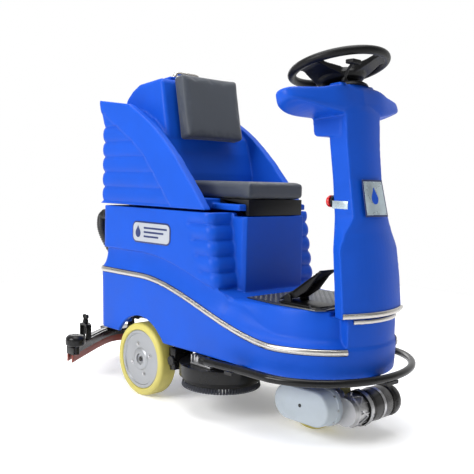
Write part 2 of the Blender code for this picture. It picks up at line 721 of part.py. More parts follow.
def drive_unit(steer, spin):
    """Steered drive: turntable, gear case, motor and wheel."""
    axle_z = DRIVE_WHEEL_RADIUS
    fork = add("steering_fork", turned([(TURNTABLE_Z, 0.080), (TURNTABLE_Z + 0.012, 0.080)],
                                       (DRIVE_X, 0, 0), "Z"), "frame", steer)
    join(fork, turned([(TURNTABLE_Z + 0.010, 0.024), (0.350, 0.024)], (DRIVE_X, 0, 0), "Z", 16))
    join(fork, turned([(0.325, 0.050), (0.333, 0.050)], (DRIVE_X, 0, 0), "Z", 20))
    gearbox = add("gearbox", slab(stadium(0.668, 0.782, 0.114, 0.066), -0.0800, -0.0530), "aluminium",
                  steer)
    join(gearbox, box((0.615, -0.078, 0.150), (0.727, -0.054, TURNTABLE_Z - GAP)))
    join(gearbox, turned([(-0.0790, 0.046), (-0.0150, 0.050)], (MOTOR_X, 0, MOTOR_Z), steps=20))
    cut(gearbox, turned([(-0.10, 0.0125), (-0.04, 0.0125)], (DRIVE_X, 0, axle_z), steps=12))
    cover = loft([
        [(x, y, z) for x, z in stadium(0.668, 0.782, 0.114, radius)]
        for y, radius in ((-0.0804, 0.0640), (-0.0980, 0.0640), (-0.0990, 0.0600), (-0.1440, 0.0585),
                          (-0.1500, 0.0530))
    ])
    add("gear_cover", cover, "cover", steer)
    flange = turned([(-0.0146, 0.0590), (0.0060, 0.0590)], (MOTOR_X, 0, MOTOR_Z))
    add("motor_flange", flange, "aluminium", steer)
    motor = [(0.0064, 0.0535), (0.0200, 0.0540), (0.1150, 0.0540), (0.1160, 0.0500), (0.1240, 0.0500),
             (0.1250, 0.0540), (0.1580, 0.0540), (0.1680, 0.0470)]
    add("drive_motor", turned(motor, (MOTOR_X, 0, MOTOR_Z)), "dark", steer)
    half = DRIVE_WHEEL_HALF_WIDTH
    tyre = [(-half, 0.088), (-half, 0.111), (-half + 0.006, axle_z), (half - 0.006, axle_z),
            (half, 0.111), (half, 0.088)]
    add("drive_tyre", ring_turned(tyre, (DRIVE_X, 0, axle_z), steps=32), "tyre", spin)
    hub = [(-0.0796, 0.0120), (-0.050, 0.0120), (-0.046, 0.030), (-0.040, 0.0872), (0.040, 0.0872),
           (0.040, 0.070), (0.020, 0.066), (0.020, 0.024), (0.036, 0.020)]
    add("drive_hub", turned(hub, (DRIVE_X, 0, axle_z)), "aluminium", spin)


# Brush deck and squeegee


def deck_outline(radius):
    """Two half circles, one over each brush."""
    return arc((BRUSH_X, BRUSH_Y), radius, 0, 180, 12) + arc((BRUSH_X, -BRUSH_Y), radius, 180, 360, 12)


def brush_deck(deck, brush_right, brush_left):
    """Deck plate over two disc brushes, with a motor on each and the lift bracket."""
    lobe = BRUSH_RADIUS + 0.010
    body = add("brush_deck", slab(deck_outline(lobe), DECK_BOTTOM_Z, 0.182, "Z"), "black", deck)
    cut(body, slab(deck_outline(lobe - 0.004), 0.10, 0.174, "Z"))
    for side in (-1, 1):
        cut(body, turned([(0.16, 0.016), (0.20, 0.016)], (BRUSH_X, side * BRUSH_Y, 0), "Z", 12))
    bracket = add("deck_bracket", box((BRUSH_X - 0.030, -0.258, 0.1825), (BRUSH_X + 0.045, -0.232, 0.222)),
                  "aluminium", deck)
    join(bracket, box((BRUSH_X - 0.045, -0.258, 0.1825), (BRUSH_X + 0.060, -0.216, 0.190)))
    for name, side, spin in (("right", -1, brush_right), ("left", 1, brush_left)):
        y = side * BRUSH_Y
        motor = turned([(0.1825, 0.050), (0.230, 0.050), (0.236, 0.044)], (BRUSH_X, y, 0), "Z", 20)
        add(f"brush_motor_{name}", motor, "dark", deck)
        disc = [(BRUSH_BOTTOM_Z, 0.132), (0.112, BRUSH_RADIUS), (0.136, 0.138), (0.138, 0.060),
                (0.168, 0.056), (0.1735, 0.0150), (0.1820, 0.0150)]
        add(f"brush_{name}", turned(disc, (BRUSH_X, y, 0), "Z", 28), "bristle", spin)


def squeegee_x(y):
    """Plan curve of the squeegee: a V with a rounded point at the rear."""
    return SQUEEGEE_APEX_X - 0.05 + math.hypot(0.05, SQUEEGEE_SWEEP * y)


def squeegee_strip(low_z, high_z, front, rear, steps=12):
    """A bar that follows the squeegee's curve between two offsets, on the outside and inside."""
    rings = []
    for i in range(steps + 1):
        y = SQUEEGEE_HALF_WIDTH * (2 * i / steps - 1)
        x = squeegee_x(y)
        rings.append([(x + rear, y, low_z), (x + front, y, low_z), (x + front, y, high_z),
                      (x + rear, y, high_z)])
    return loft(rings)


def squeegee(arm_pivot, head_pivot, rollers, knobs):
    """Lift arm, curved head with its blade, end rollers and clamping knobs."""
    px, pz = ARM_PIVOT
    hx, hz = HEAD_PIVOT
    arm = add("squeegee_arm", turned([(-0.134, 0.008), (0.134, 0.008)], (px, 0, pz), steps=12), "black",
              arm_pivot)
    for side in (-1, 1):
        y = side * 0.085
        link = [(px + 0.014, pz - 0.014), (px + 0.014, pz + 0.014), (hx - 0.012, hz + 0.012),
                (hx - 0.012, hz - 0.012)]
        join(arm, slab(link, y - 0.005, y + 0.005))
    join(arm, turned([(-0.092, 0.008), (0.092, 0.008)], (hx, 0, hz), steps=12))
    head = add("squeegee_body", squeegee_strip(0.112, 0.146, 0.010, -0.045), "black", head_pivot)
    join(head, box((hx - 0.085, -0.060, 0.140), (hx + 0.035, 0.060, 0.152)))
    for side in (-1, 1):
        ear = [(hx - 0.025, 0.145), (hx + 0.025, 0.145), (hx + 0.015, hz + 0.015), (hx - 0.015, hz + 0.015)]
        join(head, slab(ear, side * 0.055 - 0.005, side * 0.055 + 0.005))
    join(head, turned([(0.145, 0.026), (0.196, 0.026)], (hx - 0.050, 0, 0), "Z", 16))
    cut(head, turned([(-0.07, 0.0085), (0.07, 0.0085)], (hx, 0, hz), steps=12))
    cut(head, turned([(0.150, 0.0210), (0.21, 0.0210)], (hx - 0.050, 0, 0), "Z", 16))
    for side in (-1, 1):
        x, y = roller_place(side)
        join(head, turned([(0.1125, 0.018), (0.148, 0.018)], (x, y, 0), "Z", 14))
        cut(head, turned([(0.120, 0.0060), (0.16, 0.0060)], (x, y, 0), "Z", 10))
        x, y = knob_place(side)
        for end in (-1, 1):
            foot = x + end * 0.024
            join(head, box((foot - 0.004, y - 0.012, 0.144), (foot + 0.004, y + 0.012, 0.212)))
        join(head, box((x - 0.028, y - 0.012, 0.205), (x + 0.028, y + 0.012, 0.213)))
        cut(head, turned([(0.200, 0.0070), (0.22, 0.0070)], (x, y, 0), "Z", 12))
    strips = ((0.004, -0.004), (-0.031, -0.039))
    blade = add("squeegee_blade", squeegee_strip(BLADE_BOTTOM_Z, 0.1116, *strips[0]), "blade", head_pivot)
    join(blade, squeegee_strip(BLADE_BOTTOM_Z, 0.1116, *strips[1]))
    join(blade, squeegee_strip(0.1080, 0.1116, 0.002, -0.037))
    for name, side, roller in (("right", -1, rollers[0]), ("left", 1, rollers[1])):
        x, y = roller_place(side)
        wheel = [(0.1210, 0.0054), (0.1485, 0.0054), (0.1485, 0.034), (0.1540, 0.040), (0.1780, 0.040),
                 (0.1900, 0.030), (0.1950, 0.012)]
        add(f"roller_{name}", turned(wheel, (x, y, 0), "Z", 20), "black", roller)
    for name, side, knob in (("right", -1, knobs[0]), ("left", 1, knobs[1])):
        x, y = knob_place(side)
        stem = turned([(0.165, 0.0064), (0.2140, 0.0064), (0.2145, 0.012), (0.228, 0.010)], (x, y, 0), "Z",
                      12)
        turning = add(f"knob_{name}", stem, "black", knob)
        join(turning, rounded(box((x - 0.017, y - 0.006, 0.226), (x + 0.017, y + 0.006, 0.250)), 0.003, 1))


def knob_place(side):
    return squeegee_x(KNOB_Y) - 0.0175, side * KNOB_Y


def roller_place(side):
    return squeegee_x(ROLLER_Y) + 0.004, side * ROLLER_Y


# Small parts


def pedal(parent, base_parent):
    """Accelerator: an inclined plate on a pin over its base."""
    base = add("pedal_base", box((0.640, -0.172, FLOOR_Z + 0.0065), (0.800, -0.072, FLOOR_Z + 0.0115)),
               "black",
               base_parent)
    for y in (-0.163, -0.081):
        ear = [(0.650, 0.444), (0.690, 0.444), (0.682, 0.472), (0.662, 0.472)]
        join(base, slab(ear, y - 0.004, y + 0.004))
    cut(base, turned([(-0.19, 0.0044), (-0.06, 0.0044)], (PEDAL_PIN[0], 0, PEDAL_PIN[1]), steps=10))
    plate = [(0.628, 0.4520), (0.634, 0.4490), (0.690, 0.4760), (0.802, 0.5560), (0.798, 0.5620),
             (0.686, 0.4850)]
    solid = add("pedal_plate", slab(plate, -0.158, -0.086), "black", parent)
    join(solid, turned([(-0.168, 0.004), (-0.076, 0.004)], (PEDAL_PIN[0], 0, PEDAL_PIN[1]), steps=10))
    join(solid, slab([(0.664, 0.458), (0.680, 0.458), (0.690, 0.482), (0.664, 0.474)], -0.150, -0.094))


def controls(fixed, stop, lever, key):
    """Emergency stop, instrument panel, key and direction lever."""
    y, z = STOP_CENTRE
    ring = ring_turned([(0.7715, 0.0102), (0.7715, 0.0122), (0.7600, 0.0122), (0.7600, 0.0200),
                        (0.7500, 0.0200),
                        (0.7500, 0.0102)], (0, y, z), "X", 16)
    add("stop_housing", ring, "black", fixed)
    button = [(0.7700, 0.0094), (0.7440, 0.0094), (0.7430, 0.0190), (0.7360, 0.0200), (0.7290, 0.0150)]
    add("stop_button", turned(button, (0, y, z), "X", 16), "red", stop)
    panel = rounded(box((-0.022, 0.080, 0.0), (0.030, 0.200, 0.008)), 0.002, 1)
    place = Matrix.Translation((0.705, 0, 1.1200)) @ Matrix.Rotation(math.radians(-13.5), 4, "Y")
    add("control_panel", moved(panel, place), "black", fixed)
    key_solid = add("key_switch",
                    moved(turned([(0.0085, 0.009), (0.014, 0.009), (0.015, 0.006)], (0.004, 0.100, 0),
                                               "Z", 14), place), "steel", key)
    join(key_solid, moved(box((-0.006, 0.0985, 0.014), (0.014, 0.1015, 0.034)), place))
    x, y, z = LEVER_PIVOT
    lever_solid = add("drive_lever", turned([(z - 0.0035, 0.010), (z + 0.006, 0.006)], (x, y, 0), "Z", 12),
                      "black", lever)
    stalk = [(x, y, z + 0.002), (x + 0.014, y - 0.002, z + 0.030), (x + 0.034, y - 0.005, z + 0.047)]
    join(lever_solid, swept(stalk, 0.0045, 8))
    knob = rounded(box((x + 0.020, y - 0.026, z + 0.044), (x + 0.052, y + 0.016, z + 0.058)), 0.004, 1)
    join(lever_solid, knob)


def suction_route():
    """Centre line of the suction hose, from the tank's outlet elbow to the squeegee."""
    return [(-0.3135, -0.205, 0.6800), (-0.335, -0.205, 0.679), (-0.357, -0.203, 0.662),
            (-0.368, -0.196, 0.620),
            (-0.366, -0.175, 0.570), (-0.356, -0.140, 0.510), (-0.352, -0.095, 0.445), (-0.368, -0.055,
                                                                                        0.380),
            (-0.420, -0.025, 0.310), (-0.490, -0.008, 0.262), (-0.540, -0.001, 0.232), (-0.550, 0.000,
                                                                                        0.208),
            (-0.550, 0.000, 0.1975)]


def smooth_route(route, per_span=2):
    """Catmull-Rom points through a route."""
    points = [Vector(point) for point in route]
    padded = [points[0] * 2 - points[1], *points, points[-1] * 2 - points[-2]]
    out = []
    for i in range(1, len(padded) - 2):
        a, b, c, d = padded[i - 1 : i + 3]
        for k in range(per_span):
            t = k / per_span
            out.append(0.5 * (2 * b + (c - a) * t + (2 * a - 5 * b + 4 * c - d) * t * t
                              + (3 * b - a - 3 * c + d) * t * t * t))
    return out + [points[-1]]


def inside_body(fixed):
    """Batteries, vacuum motor, controller, hose and its elbow."""
    for name, x in (("rear", -0.230), ("front", -0.052)):
        battery = add(f"battery_{name}", box((x, -0.170, 0.3385), (x + 0.172, 0.170, 0.560)), "black",
                      fixed)
        for side in (-1, 1):
            join(battery, turned([(0.558, 0.009), (0.574, 0.008)], (x + 0.086, side * 0.13, 0), "Z", 10))
    vacuum = [(0.3385, 0.060), (0.395, 0.060), (0.400, 0.072), (0.440, 0.072), (0.446, 0.040),
              (0.490, 0.038)]
    add("vacuum_motor", turned(vacuum, (0.270, 0.150, 0), "Z", 20), "dark", fixed)
    add("motor_controller", rounded(box((0.180, -0.225, 0.3385), (0.345, -0.080, 0.400)), 0.004, 1),
        "aluminium", fixed)
    route = suction_route()
    elbow = swept([(-0.2905, -0.205, 0.6800), (-0.3115, -0.205, 0.6800)], 0.0280, 14)
    add("suction_elbow", elbow, "black", fixed)
    add("suction_hose", swept(smooth_route(route), 0.0200, 10), "hose", fixed)


def steering_bearing(fixed):
    ring = [(0.2686, 0.034), (0.2686, 0.076), (0.2876, 0.076), (0.2876, 0.034)]
    add("steering_bearing", ring_turned(ring, (DRIVE_X, 0, 0), "Z"), "steel", fixed)


def floor_mat(fixed):
    outline = [(0.493, -0.174), (0.640, -0.192), (0.800, -0.180), (0.820, -0.150)]
    outline += [(x, -y) for x, y in reversed(outline)]
    add("floor_mat", slab(outline, FLOOR_Z + 0.0008, FLOOR_Z + 0.0058, "Z"), "mat", fixed)


def build():
    assembly = pivot("scrubber", (0, 0, 0))
    assembly.location = (-MIDDLE_X, 0, 0)
    tank = pivot("tank_tilt", (TANK_HINGE[0], 0, TANK_HINGE[1]), assembly)
    lid = pivot("lid_open", (LID_HINGE[0], 0, LID_HINGE[1]), tank)
    wheel = pivot("steering_turn", on_wheel_axis(0.0), assembly)
    steer = pivot("drive_steer", (DRIVE_X, 0, TURNTABLE_Z), assembly)
    spin = pivot("drive_spin", (DRIVE_X, 0, DRIVE_WHEEL_RADIUS), steer)
    right = pivot("rear_spin_right", (0, -0.225, REAR_WHEEL_RADIUS), assembly)
    left = pivot("rear_spin_left", (0, 0.225, REAR_WHEEL_RADIUS), assembly)
    deck = pivot("deck_lift", (BRUSH_X, 0, DECK_BOTTOM_Z), assembly)
    brush_right = pivot("brush_spin_right", (BRUSH_X, -BRUSH_Y, 0.12), deck)
    brush_left = pivot("brush_spin_left", (BRUSH_X, BRUSH_Y, 0.12), deck)
    arm = pivot("squeegee_lift", (ARM_PIVOT[0], 0, ARM_PIVOT[1]), assembly)
    head = pivot("squeegee_level", (HEAD_PIVOT[0], 0, HEAD_PIVOT[1]), arm)
    rollers = [pivot(f"roller_spin_{name}", (*roller_place(side), 0.165), head)
               for name, side in (("right", -1), ("left", 1))]
    knobs = [pivot(f"knob_turn_{name}", (*knob_place(side), 0.22), head)
             for name, side in (("right", -1), ("left", 1))]
    pedal_pin = pivot("pedal_press", (PEDAL_PIN[0], -0.12, PEDAL_PIN[1]), assembly)
    stop = pivot("stop_press", (0.74, *STOP_CENTRE), assembly)
    lever = pivot("lever_tilt", LEVER_PIVOT, assembly)
    key = pivot("key_turn", (0.705, 0.100, 1.12), assembly)

    main_body(assembly)
    chassis_frame(assembly)
    steering_column(assembly)
    add("trim_right", side_trim(-1), "chrome", assembly)
    add("trim_left", side_trim(1), "chrome", assembly)
    add("nose_trim", arc_trim(BODY_HALF_WIDTH + 0.0002, NOSE_CENTRE_X, 25, 0.4005, 0.4165, 0.004),
        "chrome", assembly)
    add("column_trim", column_trim(), "chrome", assembly)
    add("front_plate", front_plate(), "chrome", assembly)
    bumper(assembly)
    axle = turned([(-0.2540, AXLE_RADIUS), (0.2540, AXLE_RADIUS)], (0, 0, REAR_WHEEL_RADIUS), steps=12)
    add("rear_axle", axle, "steel", assembly)
    rear_wheel("right", -1, right)
    rear_wheel("left", 1, left)
    steering_bearing(assembly)
    floor_mat(assembly)
    inside_body(assembly)
    recovery_tank(tank)
    seat(tank)
    tank_lid(lid)
    steering_wheel(wheel)
    drive_unit(steer, spin)
    brush_deck(deck, brush_right, brush_left)
    squeegee(arm, head, rollers, knobs)
    pedal(pedal_pin, assembly)
    controls(assembly, stop, lever, key)


def column_trim():
    """Strip round the column's foot, in front of its bowed face."""
    level = COLUMN_LEVELS[0]
    front, half, bow = level[3], level[4], level[5]
    points = [(front, half), (front + 0.75 * bow, 0.5 * half), (front + bow, 0.0),
              (front + 0.75 * bow, -0.5 * half), (front, -half)]
    inner = [(x + 0.0006, y) for x, y in points]
    outer = [(x + 0.0046, y) for x, y in reversed(points)]
    return slab(inner + outer, 0.4200, 0.4380, "Z")


COLOURS = {}


def make_colours():
    COLOURS.update(
        blue=material("blue", (0.03, 0.16, 0.75), 0.35),
        black=material("black", (0.02, 0.02, 0.02), 0.5),
        dark=material("dark", (0.06, 0.06, 0.06), 0.45),
        frame=material("frame", (0.04, 0.04, 0.045), 0.5, 0.3),
        cushion=material("cushion", (0.06, 0.07, 0.09), 0.6),
        chrome=material("chrome", (0.75, 0.75, 0.72), 0.2, 1.0),
        aluminium=material("aluminium", (0.6, 0.6, 0.62), 0.35, 1.0),
        steel=material("steel", (0.45, 0.45, 0.46), 0.35, 1.0),
        cover=material("cover", (0.35, 0.40, 0.43), 0.45),
        grey=material("grey", (0.4, 0.4, 0.42), 0.45),
        tyre=material("tyre", (0.55, 0.50, 0.15), 0.6),
        bristle=material("bristle", (0.03, 0.03, 0.04), 0.8),
        blade=material("blade", (0.25, 0.05, 0.03), 0.6),
        hose=material("hose", (0.02, 0.02, 0.02), 0.5),
        mat=material("mat", (0.15, 0.15, 0.15), 0.7),
        red=material("red", (0.6, 0.02, 0.02), 0.4),
    )


clear_scene()
make_colours()
build()
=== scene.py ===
"""Looks for the ride-on floor scrubber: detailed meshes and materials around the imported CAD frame.

Shapes are drawn from the rear axle (x = 0) in metres, as in part.py, and moved by AXLE_X into the frame.
"""

import math

import bmesh
import bpy
import numpy as np
from mathutils import Matrix, Vector


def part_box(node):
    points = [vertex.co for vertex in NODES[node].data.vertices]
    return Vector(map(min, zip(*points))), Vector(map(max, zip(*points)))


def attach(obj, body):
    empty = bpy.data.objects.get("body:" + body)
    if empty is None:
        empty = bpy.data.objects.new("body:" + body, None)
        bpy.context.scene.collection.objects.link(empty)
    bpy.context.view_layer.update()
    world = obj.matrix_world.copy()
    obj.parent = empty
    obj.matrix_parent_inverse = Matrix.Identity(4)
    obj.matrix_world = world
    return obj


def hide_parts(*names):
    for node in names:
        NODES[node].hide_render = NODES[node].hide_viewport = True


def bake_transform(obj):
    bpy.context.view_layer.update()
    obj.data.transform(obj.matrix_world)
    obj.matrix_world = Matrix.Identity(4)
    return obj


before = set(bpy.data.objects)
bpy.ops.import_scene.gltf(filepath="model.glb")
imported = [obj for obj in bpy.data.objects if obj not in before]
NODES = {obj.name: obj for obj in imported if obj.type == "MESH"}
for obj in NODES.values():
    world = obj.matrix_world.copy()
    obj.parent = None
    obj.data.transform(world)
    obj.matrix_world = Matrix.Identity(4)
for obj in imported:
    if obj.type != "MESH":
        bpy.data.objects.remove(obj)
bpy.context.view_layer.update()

AXLE_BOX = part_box("rear_axle")
AXLE_X = (AXLE_BOX[0][0] + AXLE_BOX[1][0]) / 2

# Camera, measured from the rear axle and the centre plane
CAMERA_PLACE = (2.238, -1.893, 0.832)
CAMERA_HEADING = 46.35
CAMERA_PITCH = 4.40
CAMERA_ROLL = 1.48
CAMERA_LENS = 55.1

# Body dimensions, as in the CAD model
BODY_HALF_WIDTH = 0.262
BODY_REAR_X = -0.286
BODY_BOTTOM_Z = 0.227
NOSE_CENTRE_X = 0.66
REAR_CORNER = 0.05
FLOOR_Z = 0.435
COLUMN_SEAT_Z = 0.418
BOX_TOP_Z = 0.722
BOX_REAR_X = -0.280
BLOCK_FRONT_X = 0.455
BLOCK_HALF_WIDTH = 0.155
BLOCK_TOP_Z = 0.710
SCALLOP_PITCH = 0.0545
SCALLOP_TOP_Z = 0.735
SCALLOP_DEPTH = 0.015
BAY_TOP_Z = 0.330
REAR_WHEEL_RADIUS = 0.140
REAR_WHEEL_WIDTH = 0.075
ARCH_RADIUS = 0.168
DRIVE_X = 0.671
DRIVE_WHEEL_RADIUS = 0.117
DRIVE_WHEEL_HALF_WIDTH = 0.044
MOTOR_X = 0.850
MOTOR_Z = 0.108
TURNTABLE_Z = 0.256
TANK_BOTTOM_Z = 0.730
WING_THICKNESS = 0.032
RIB_BOTTOM_Z = 0.737
RIB_PITCH = 0.0595
SEAT_BOTTOM_Z = 0.7695
BACK_TILT = math.radians(11.5)
BACK_CENTRE = (0.0775, 1.108)
WHEEL_CENTRE = (0.715, 1.210)
WHEEL_TILT = math.radians(14.4)
RIM_RADIUS = 0.155
RIM_TUBE = 0.014
SPOKE_ANGLES = (26, 146, 266)
BRUSH_X = 0.345
BRUSH_Y = 0.148
BRUSH_RADIUS = 0.142
SQUEEGEE_APEX_X = -0.538
SQUEEGEE_HALF_WIDTH = 0.372
SQUEEGEE_SWEEP = 0.75
ROLLER_Y = 0.350
KNOB_Y = 0.240
BLADE_BOTTOM_Z = 0.082
ARM_PIVOT = (-0.235, 0.262)
HEAD_PIVOT = (-0.500, 0.190)
HOSE_RADIUS = 0.020
CABLE_RADIUS = 0.003
BUMPER_Z = 0.236
BUMPER_TUBE = 0.0125
BUMPER_FRONT_X = 0.970
PEDAL_PIN = (0.672, 0.462)
STOP_CENTRE = (-0.045, 0.775)
LEVER_PIVOT = (0.800, -0.075, 1.1562)
LID_HINGE = (-0.124, 1.2045)
LID_SLOPE = math.atan2(0.013, 0.123)
COLUMN_FOOT_Z = 0.4185
COLUMN_TOP_Z = 1.150
COLUMN_WALL = 0.007
SHAFT_BORE = 0.0165
SEAT_SIZE = (0.345, 0.280, 0.0625)
BACK_SIZE = (0.0665, 0.286, 0.247)
SEAT_FRONT_X = 0.457
ELBOW = (0, -0.205, 0.680)
SPIGOT_X = -0.550

# How finely the moulded skins are remeshed
BODY_VOXEL = 0.0032
TANK_VOXEL = 0.0036
CUSHION_VOXEL = 0.0050
HUB_VOXEL = 0.0024
CLOTH_FRAMES = 20

# Backdrop: its light on the side facing the camera, and how sharp its horizon is
BEHIND_CAMERA = 0.24
HORIZON_BLEND = 0.02
STUDIO_FLOOR_HALF = 3.2

scene = bpy.context.scene


# Camera, lights and floor


def set_camera():
    heading, pitch, roll = (math.radians(v) for v in (CAMERA_HEADING, CAMERA_PITCH, CAMERA_ROLL))
    ahead = Vector((-math.sin(heading) * math.cos(pitch), math.cos(heading) * math.cos(pitch),
                    -math.sin(pitch)))
    right = Vector((math.cos(heading), math.sin(heading), 0))
    up = right.cross(ahead)
    across = right * math.cos(roll) + up * math.sin(roll)
    upright = up * math.cos(roll) - right * math.sin(roll)
    data = bpy.data.cameras.new("camera")
    data.lens = CAMERA_LENS
    data.sensor_width = 36
    data.clip_end = 50
    camera = bpy.data.objects.new("camera", data)
    scene.collection.objects.link(camera)
    place = Vector(CAMERA_PLACE) + Vector((AXLE_X, 0, 0))
    camera.matrix_world = Matrix((
        (across.x, upright.x, -ahead.x, place.x),
        (across.y, upright.y, -ahead.y, place.y),
        (across.z, upright.z, -ahead.z, place.z),
        (0, 0, 0, 1),
    ))
    scene.camera = camera


def area_light(name, place, target, size, power):
    data = bpy.data.lights.new(name, "AREA")
    data.shape = "RECTANGLE"
    data.size, data.size_y = size
    data.energy = power
    light = bpy.data.objects.new(name, data)
    scene.collection.objects.link(light)
    light.location = place
    light.rotation_euler = (Vector(target) - Vector(place)).to_track_quat("-Z", "Y").to_euler()


def node_maker(owner):
    """The owner's node tree, and a function that adds a node to it with its settings."""
    tree = owner.node_tree

    def make(kind, **values):
        node = tree.nodes.new(f"ShaderNode{kind}")
        for key, value in values.items():
            if hasattr(node, key):
                setattr(node, key, value)
            else:
                node.inputs[key.replace("_", " ")].default_value = value
        return node

    return tree, make


def set_lights():
    """The backdrop is plain white from every side; only the light it gives falls off by direction."""
    world = bpy.data.worlds.new("studio")
    world.use_nodes = True
    tree, make = node_maker(world)
    link = tree.links.new
    background = tree.nodes["Background"]
    background.inputs["Color"].default_value = (1, 1, 1, 1)
    heading = math.radians(CAMERA_HEADING)
    where = make("TexCoord")
    facing = make("VectorMath", operation="DOT_PRODUCT")
    facing.inputs[1].default_value = (-math.sin(heading), math.cos(heading), 0)
    fall = make("MapRange", interpolation_type="SMOOTHSTEP", From_Min=-0.1, From_Max=0.75,
                To_Min=BEHIND_CAMERA, To_Max=1.0)
    height = make("SeparateXYZ")
    ground = make("MapRange", From_Min=-HORIZON_BLEND, From_Max=HORIZON_BLEND, To_Min=1.0, To_Max=0.0)
    brighter = make("Math", operation="MAXIMUM")
    path = make("LightPath")
    backdrop = make("Math", operation="MAXIMUM")
    link(where.outputs["Generated"], facing.inputs[0])
    link(facing.outputs["Value"], fall.inputs["Value"])
    link(where.outputs["Generated"], height.inputs["Vector"])
    link(height.outputs["Z"], ground.inputs["Value"])
    link(fall.outputs["Result"], brighter.inputs[0])
    link(ground.outputs["Result"], brighter.inputs[1])
    link(brighter.outputs["Value"], backdrop.inputs[0])
    link(path.outputs["Is Camera Ray"], backdrop.inputs[1])
    link(backdrop.outputs["Value"], background.inputs["Strength"])
    scene.world = world
    area_light("key", (-0.3, -3.8, 2.4), (0, 0, 0.55), (2.2, 1.8), 160)
    area_light("top", (0.2, -0.2, 3.8), (0, 0, 0.5), (3.2, 3.2), 150)
    area_light("front", (4.0, 0.6, 1.4), (0, 0, 0.6), (1.6, 1.6), 6)
    area_light("rear", (-3.5, 2.2, 2.0), (0, 0, 0.6), (2.0, 2.0), 40)
    scene.view_settings.view_transform = "Standard"


# Materials

MATERIALS = {}
SOOT = (0.03, 0.028, 0.026)
GREASE = (0.07, 0.06, 0.05)


def finish(
    name, colour, roughness=0.5, metallic=0.0, spread=0.08, blotch=6.0, grain=900.0, bump=0.1,
    rough_spread=0.08, stretch=(1, 1, 1), coat=0.0, sheen=0.0, grime_and_shade=0.0, grime_and_shade_colour=SOOT, cells=0.0,
    cell_bump=0.0, specular=0.4,
):
    """A procedural finish: colour drifting over the surface, uneven gloss, fine grain, and a tint towards the
    bottom that is grime on most finishes and painted shade on the tyre's lower tread.
    """
    material = bpy.data.materials.new(name)
    material.use_nodes = True
    tree, make = node_maker(material)
    link = tree.links.new
    shader = tree.nodes["Principled BSDF"]
    for socket, value in (("Metallic", metallic), ("Coat Weight", coat), ("Coat Roughness", 0.15),
                          ("Sheen Weight", sheen), ("Specular IOR Level", specular)):
        shader.inputs[socket].default_value = value
    where = make("TexCoord")
    scaled = make("Mapping", Scale=stretch)
    link(where.outputs["Object"], scaled.inputs["Vector"])
    drift = make("TexNoise", Scale=blotch, Detail=4.0, Roughness=0.6)
    link(scaled.outputs["Vector"], drift.inputs["Vector"])
    ramp = make("ValToRGB")
    for stop, position, share in zip(ramp.color_ramp.elements, (0.3, 0.7), (1 - spread, 1 + spread)):
        stop.position = position
        stop.color = (*[min(c * share, 1) for c in colour], 1)
    link(drift.outputs["Fac"], ramp.inputs["Fac"])
    colour_out = ramp.outputs["Color"]
    fine = make("TexNoise", Scale=grain, Detail=2.0, Roughness=0.5)
    link(scaled.outputs["Vector"], fine.inputs["Vector"])
    # Tint towards the bottom, blotched by noise: grime on most finishes, painted shade on the tyre's lower
    # tread.
    if grime_and_shade:
        split = make("SeparateXYZ")
        link(where.outputs["Object"], split.inputs["Vector"])
        height = make("MapRange", From_Min=0.0, From_Max=0.30, To_Min=grime_and_shade, To_Max=0.0)
        link(split.outputs["Z"], height.inputs["Value"])
        spots = make("TexNoise", Scale=28.0, Detail=6.0, Roughness=0.7)
        link(where.outputs["Object"], spots.inputs["Vector"])
        amount = make("Math", operation="MULTIPLY", use_clamp=True)
        link(height.outputs["Result"], amount.inputs[0])
        link(spots.outputs["Fac"], amount.inputs[1])
        mix = make("Mix", data_type="RGBA")
        link(amount.outputs["Value"], mix.inputs["Factor"])
        link(colour_out, mix.inputs["A"])
        mix.inputs["B"].default_value = (*grime_and_shade_colour, 1)
        colour_out = mix.outputs["Result"]
    link(colour_out, shader.inputs["Base Color"])
    gloss = make("MapRange", From_Min=0.3, From_Max=0.7, To_Min=max(roughness - rough_spread, 0.02),
                 To_Max=min(roughness + rough_spread, 1.0))
    link(drift.outputs["Fac"], gloss.inputs["Value"])
    link(gloss.outputs["Result"], shader.inputs["Roughness"])
    relief = make("Bump", Strength=bump, Distance=0.0008)
    link(fine.outputs["Fac"], relief.inputs["Height"])
    normal = relief.outputs["Normal"]
    if cells:
        creases = make("TexVoronoi", feature="DISTANCE_TO_EDGE", Scale=cells)
        link(where.outputs["Object"], creases.inputs["Vector"])
        soft = make("MapRange", From_Max=0.12)
        link(creases.outputs["Distance"], soft.inputs["Value"])
        leather = make("Bump", Strength=cell_bump, Distance=0.0010)
        link(soft.outputs["Result"], leather.inputs["Height"])
        link(normal, leather.inputs["Normal"])
        normal = leather.outputs["Normal"]
    link(normal, shader.inputs["Normal"])
    return material


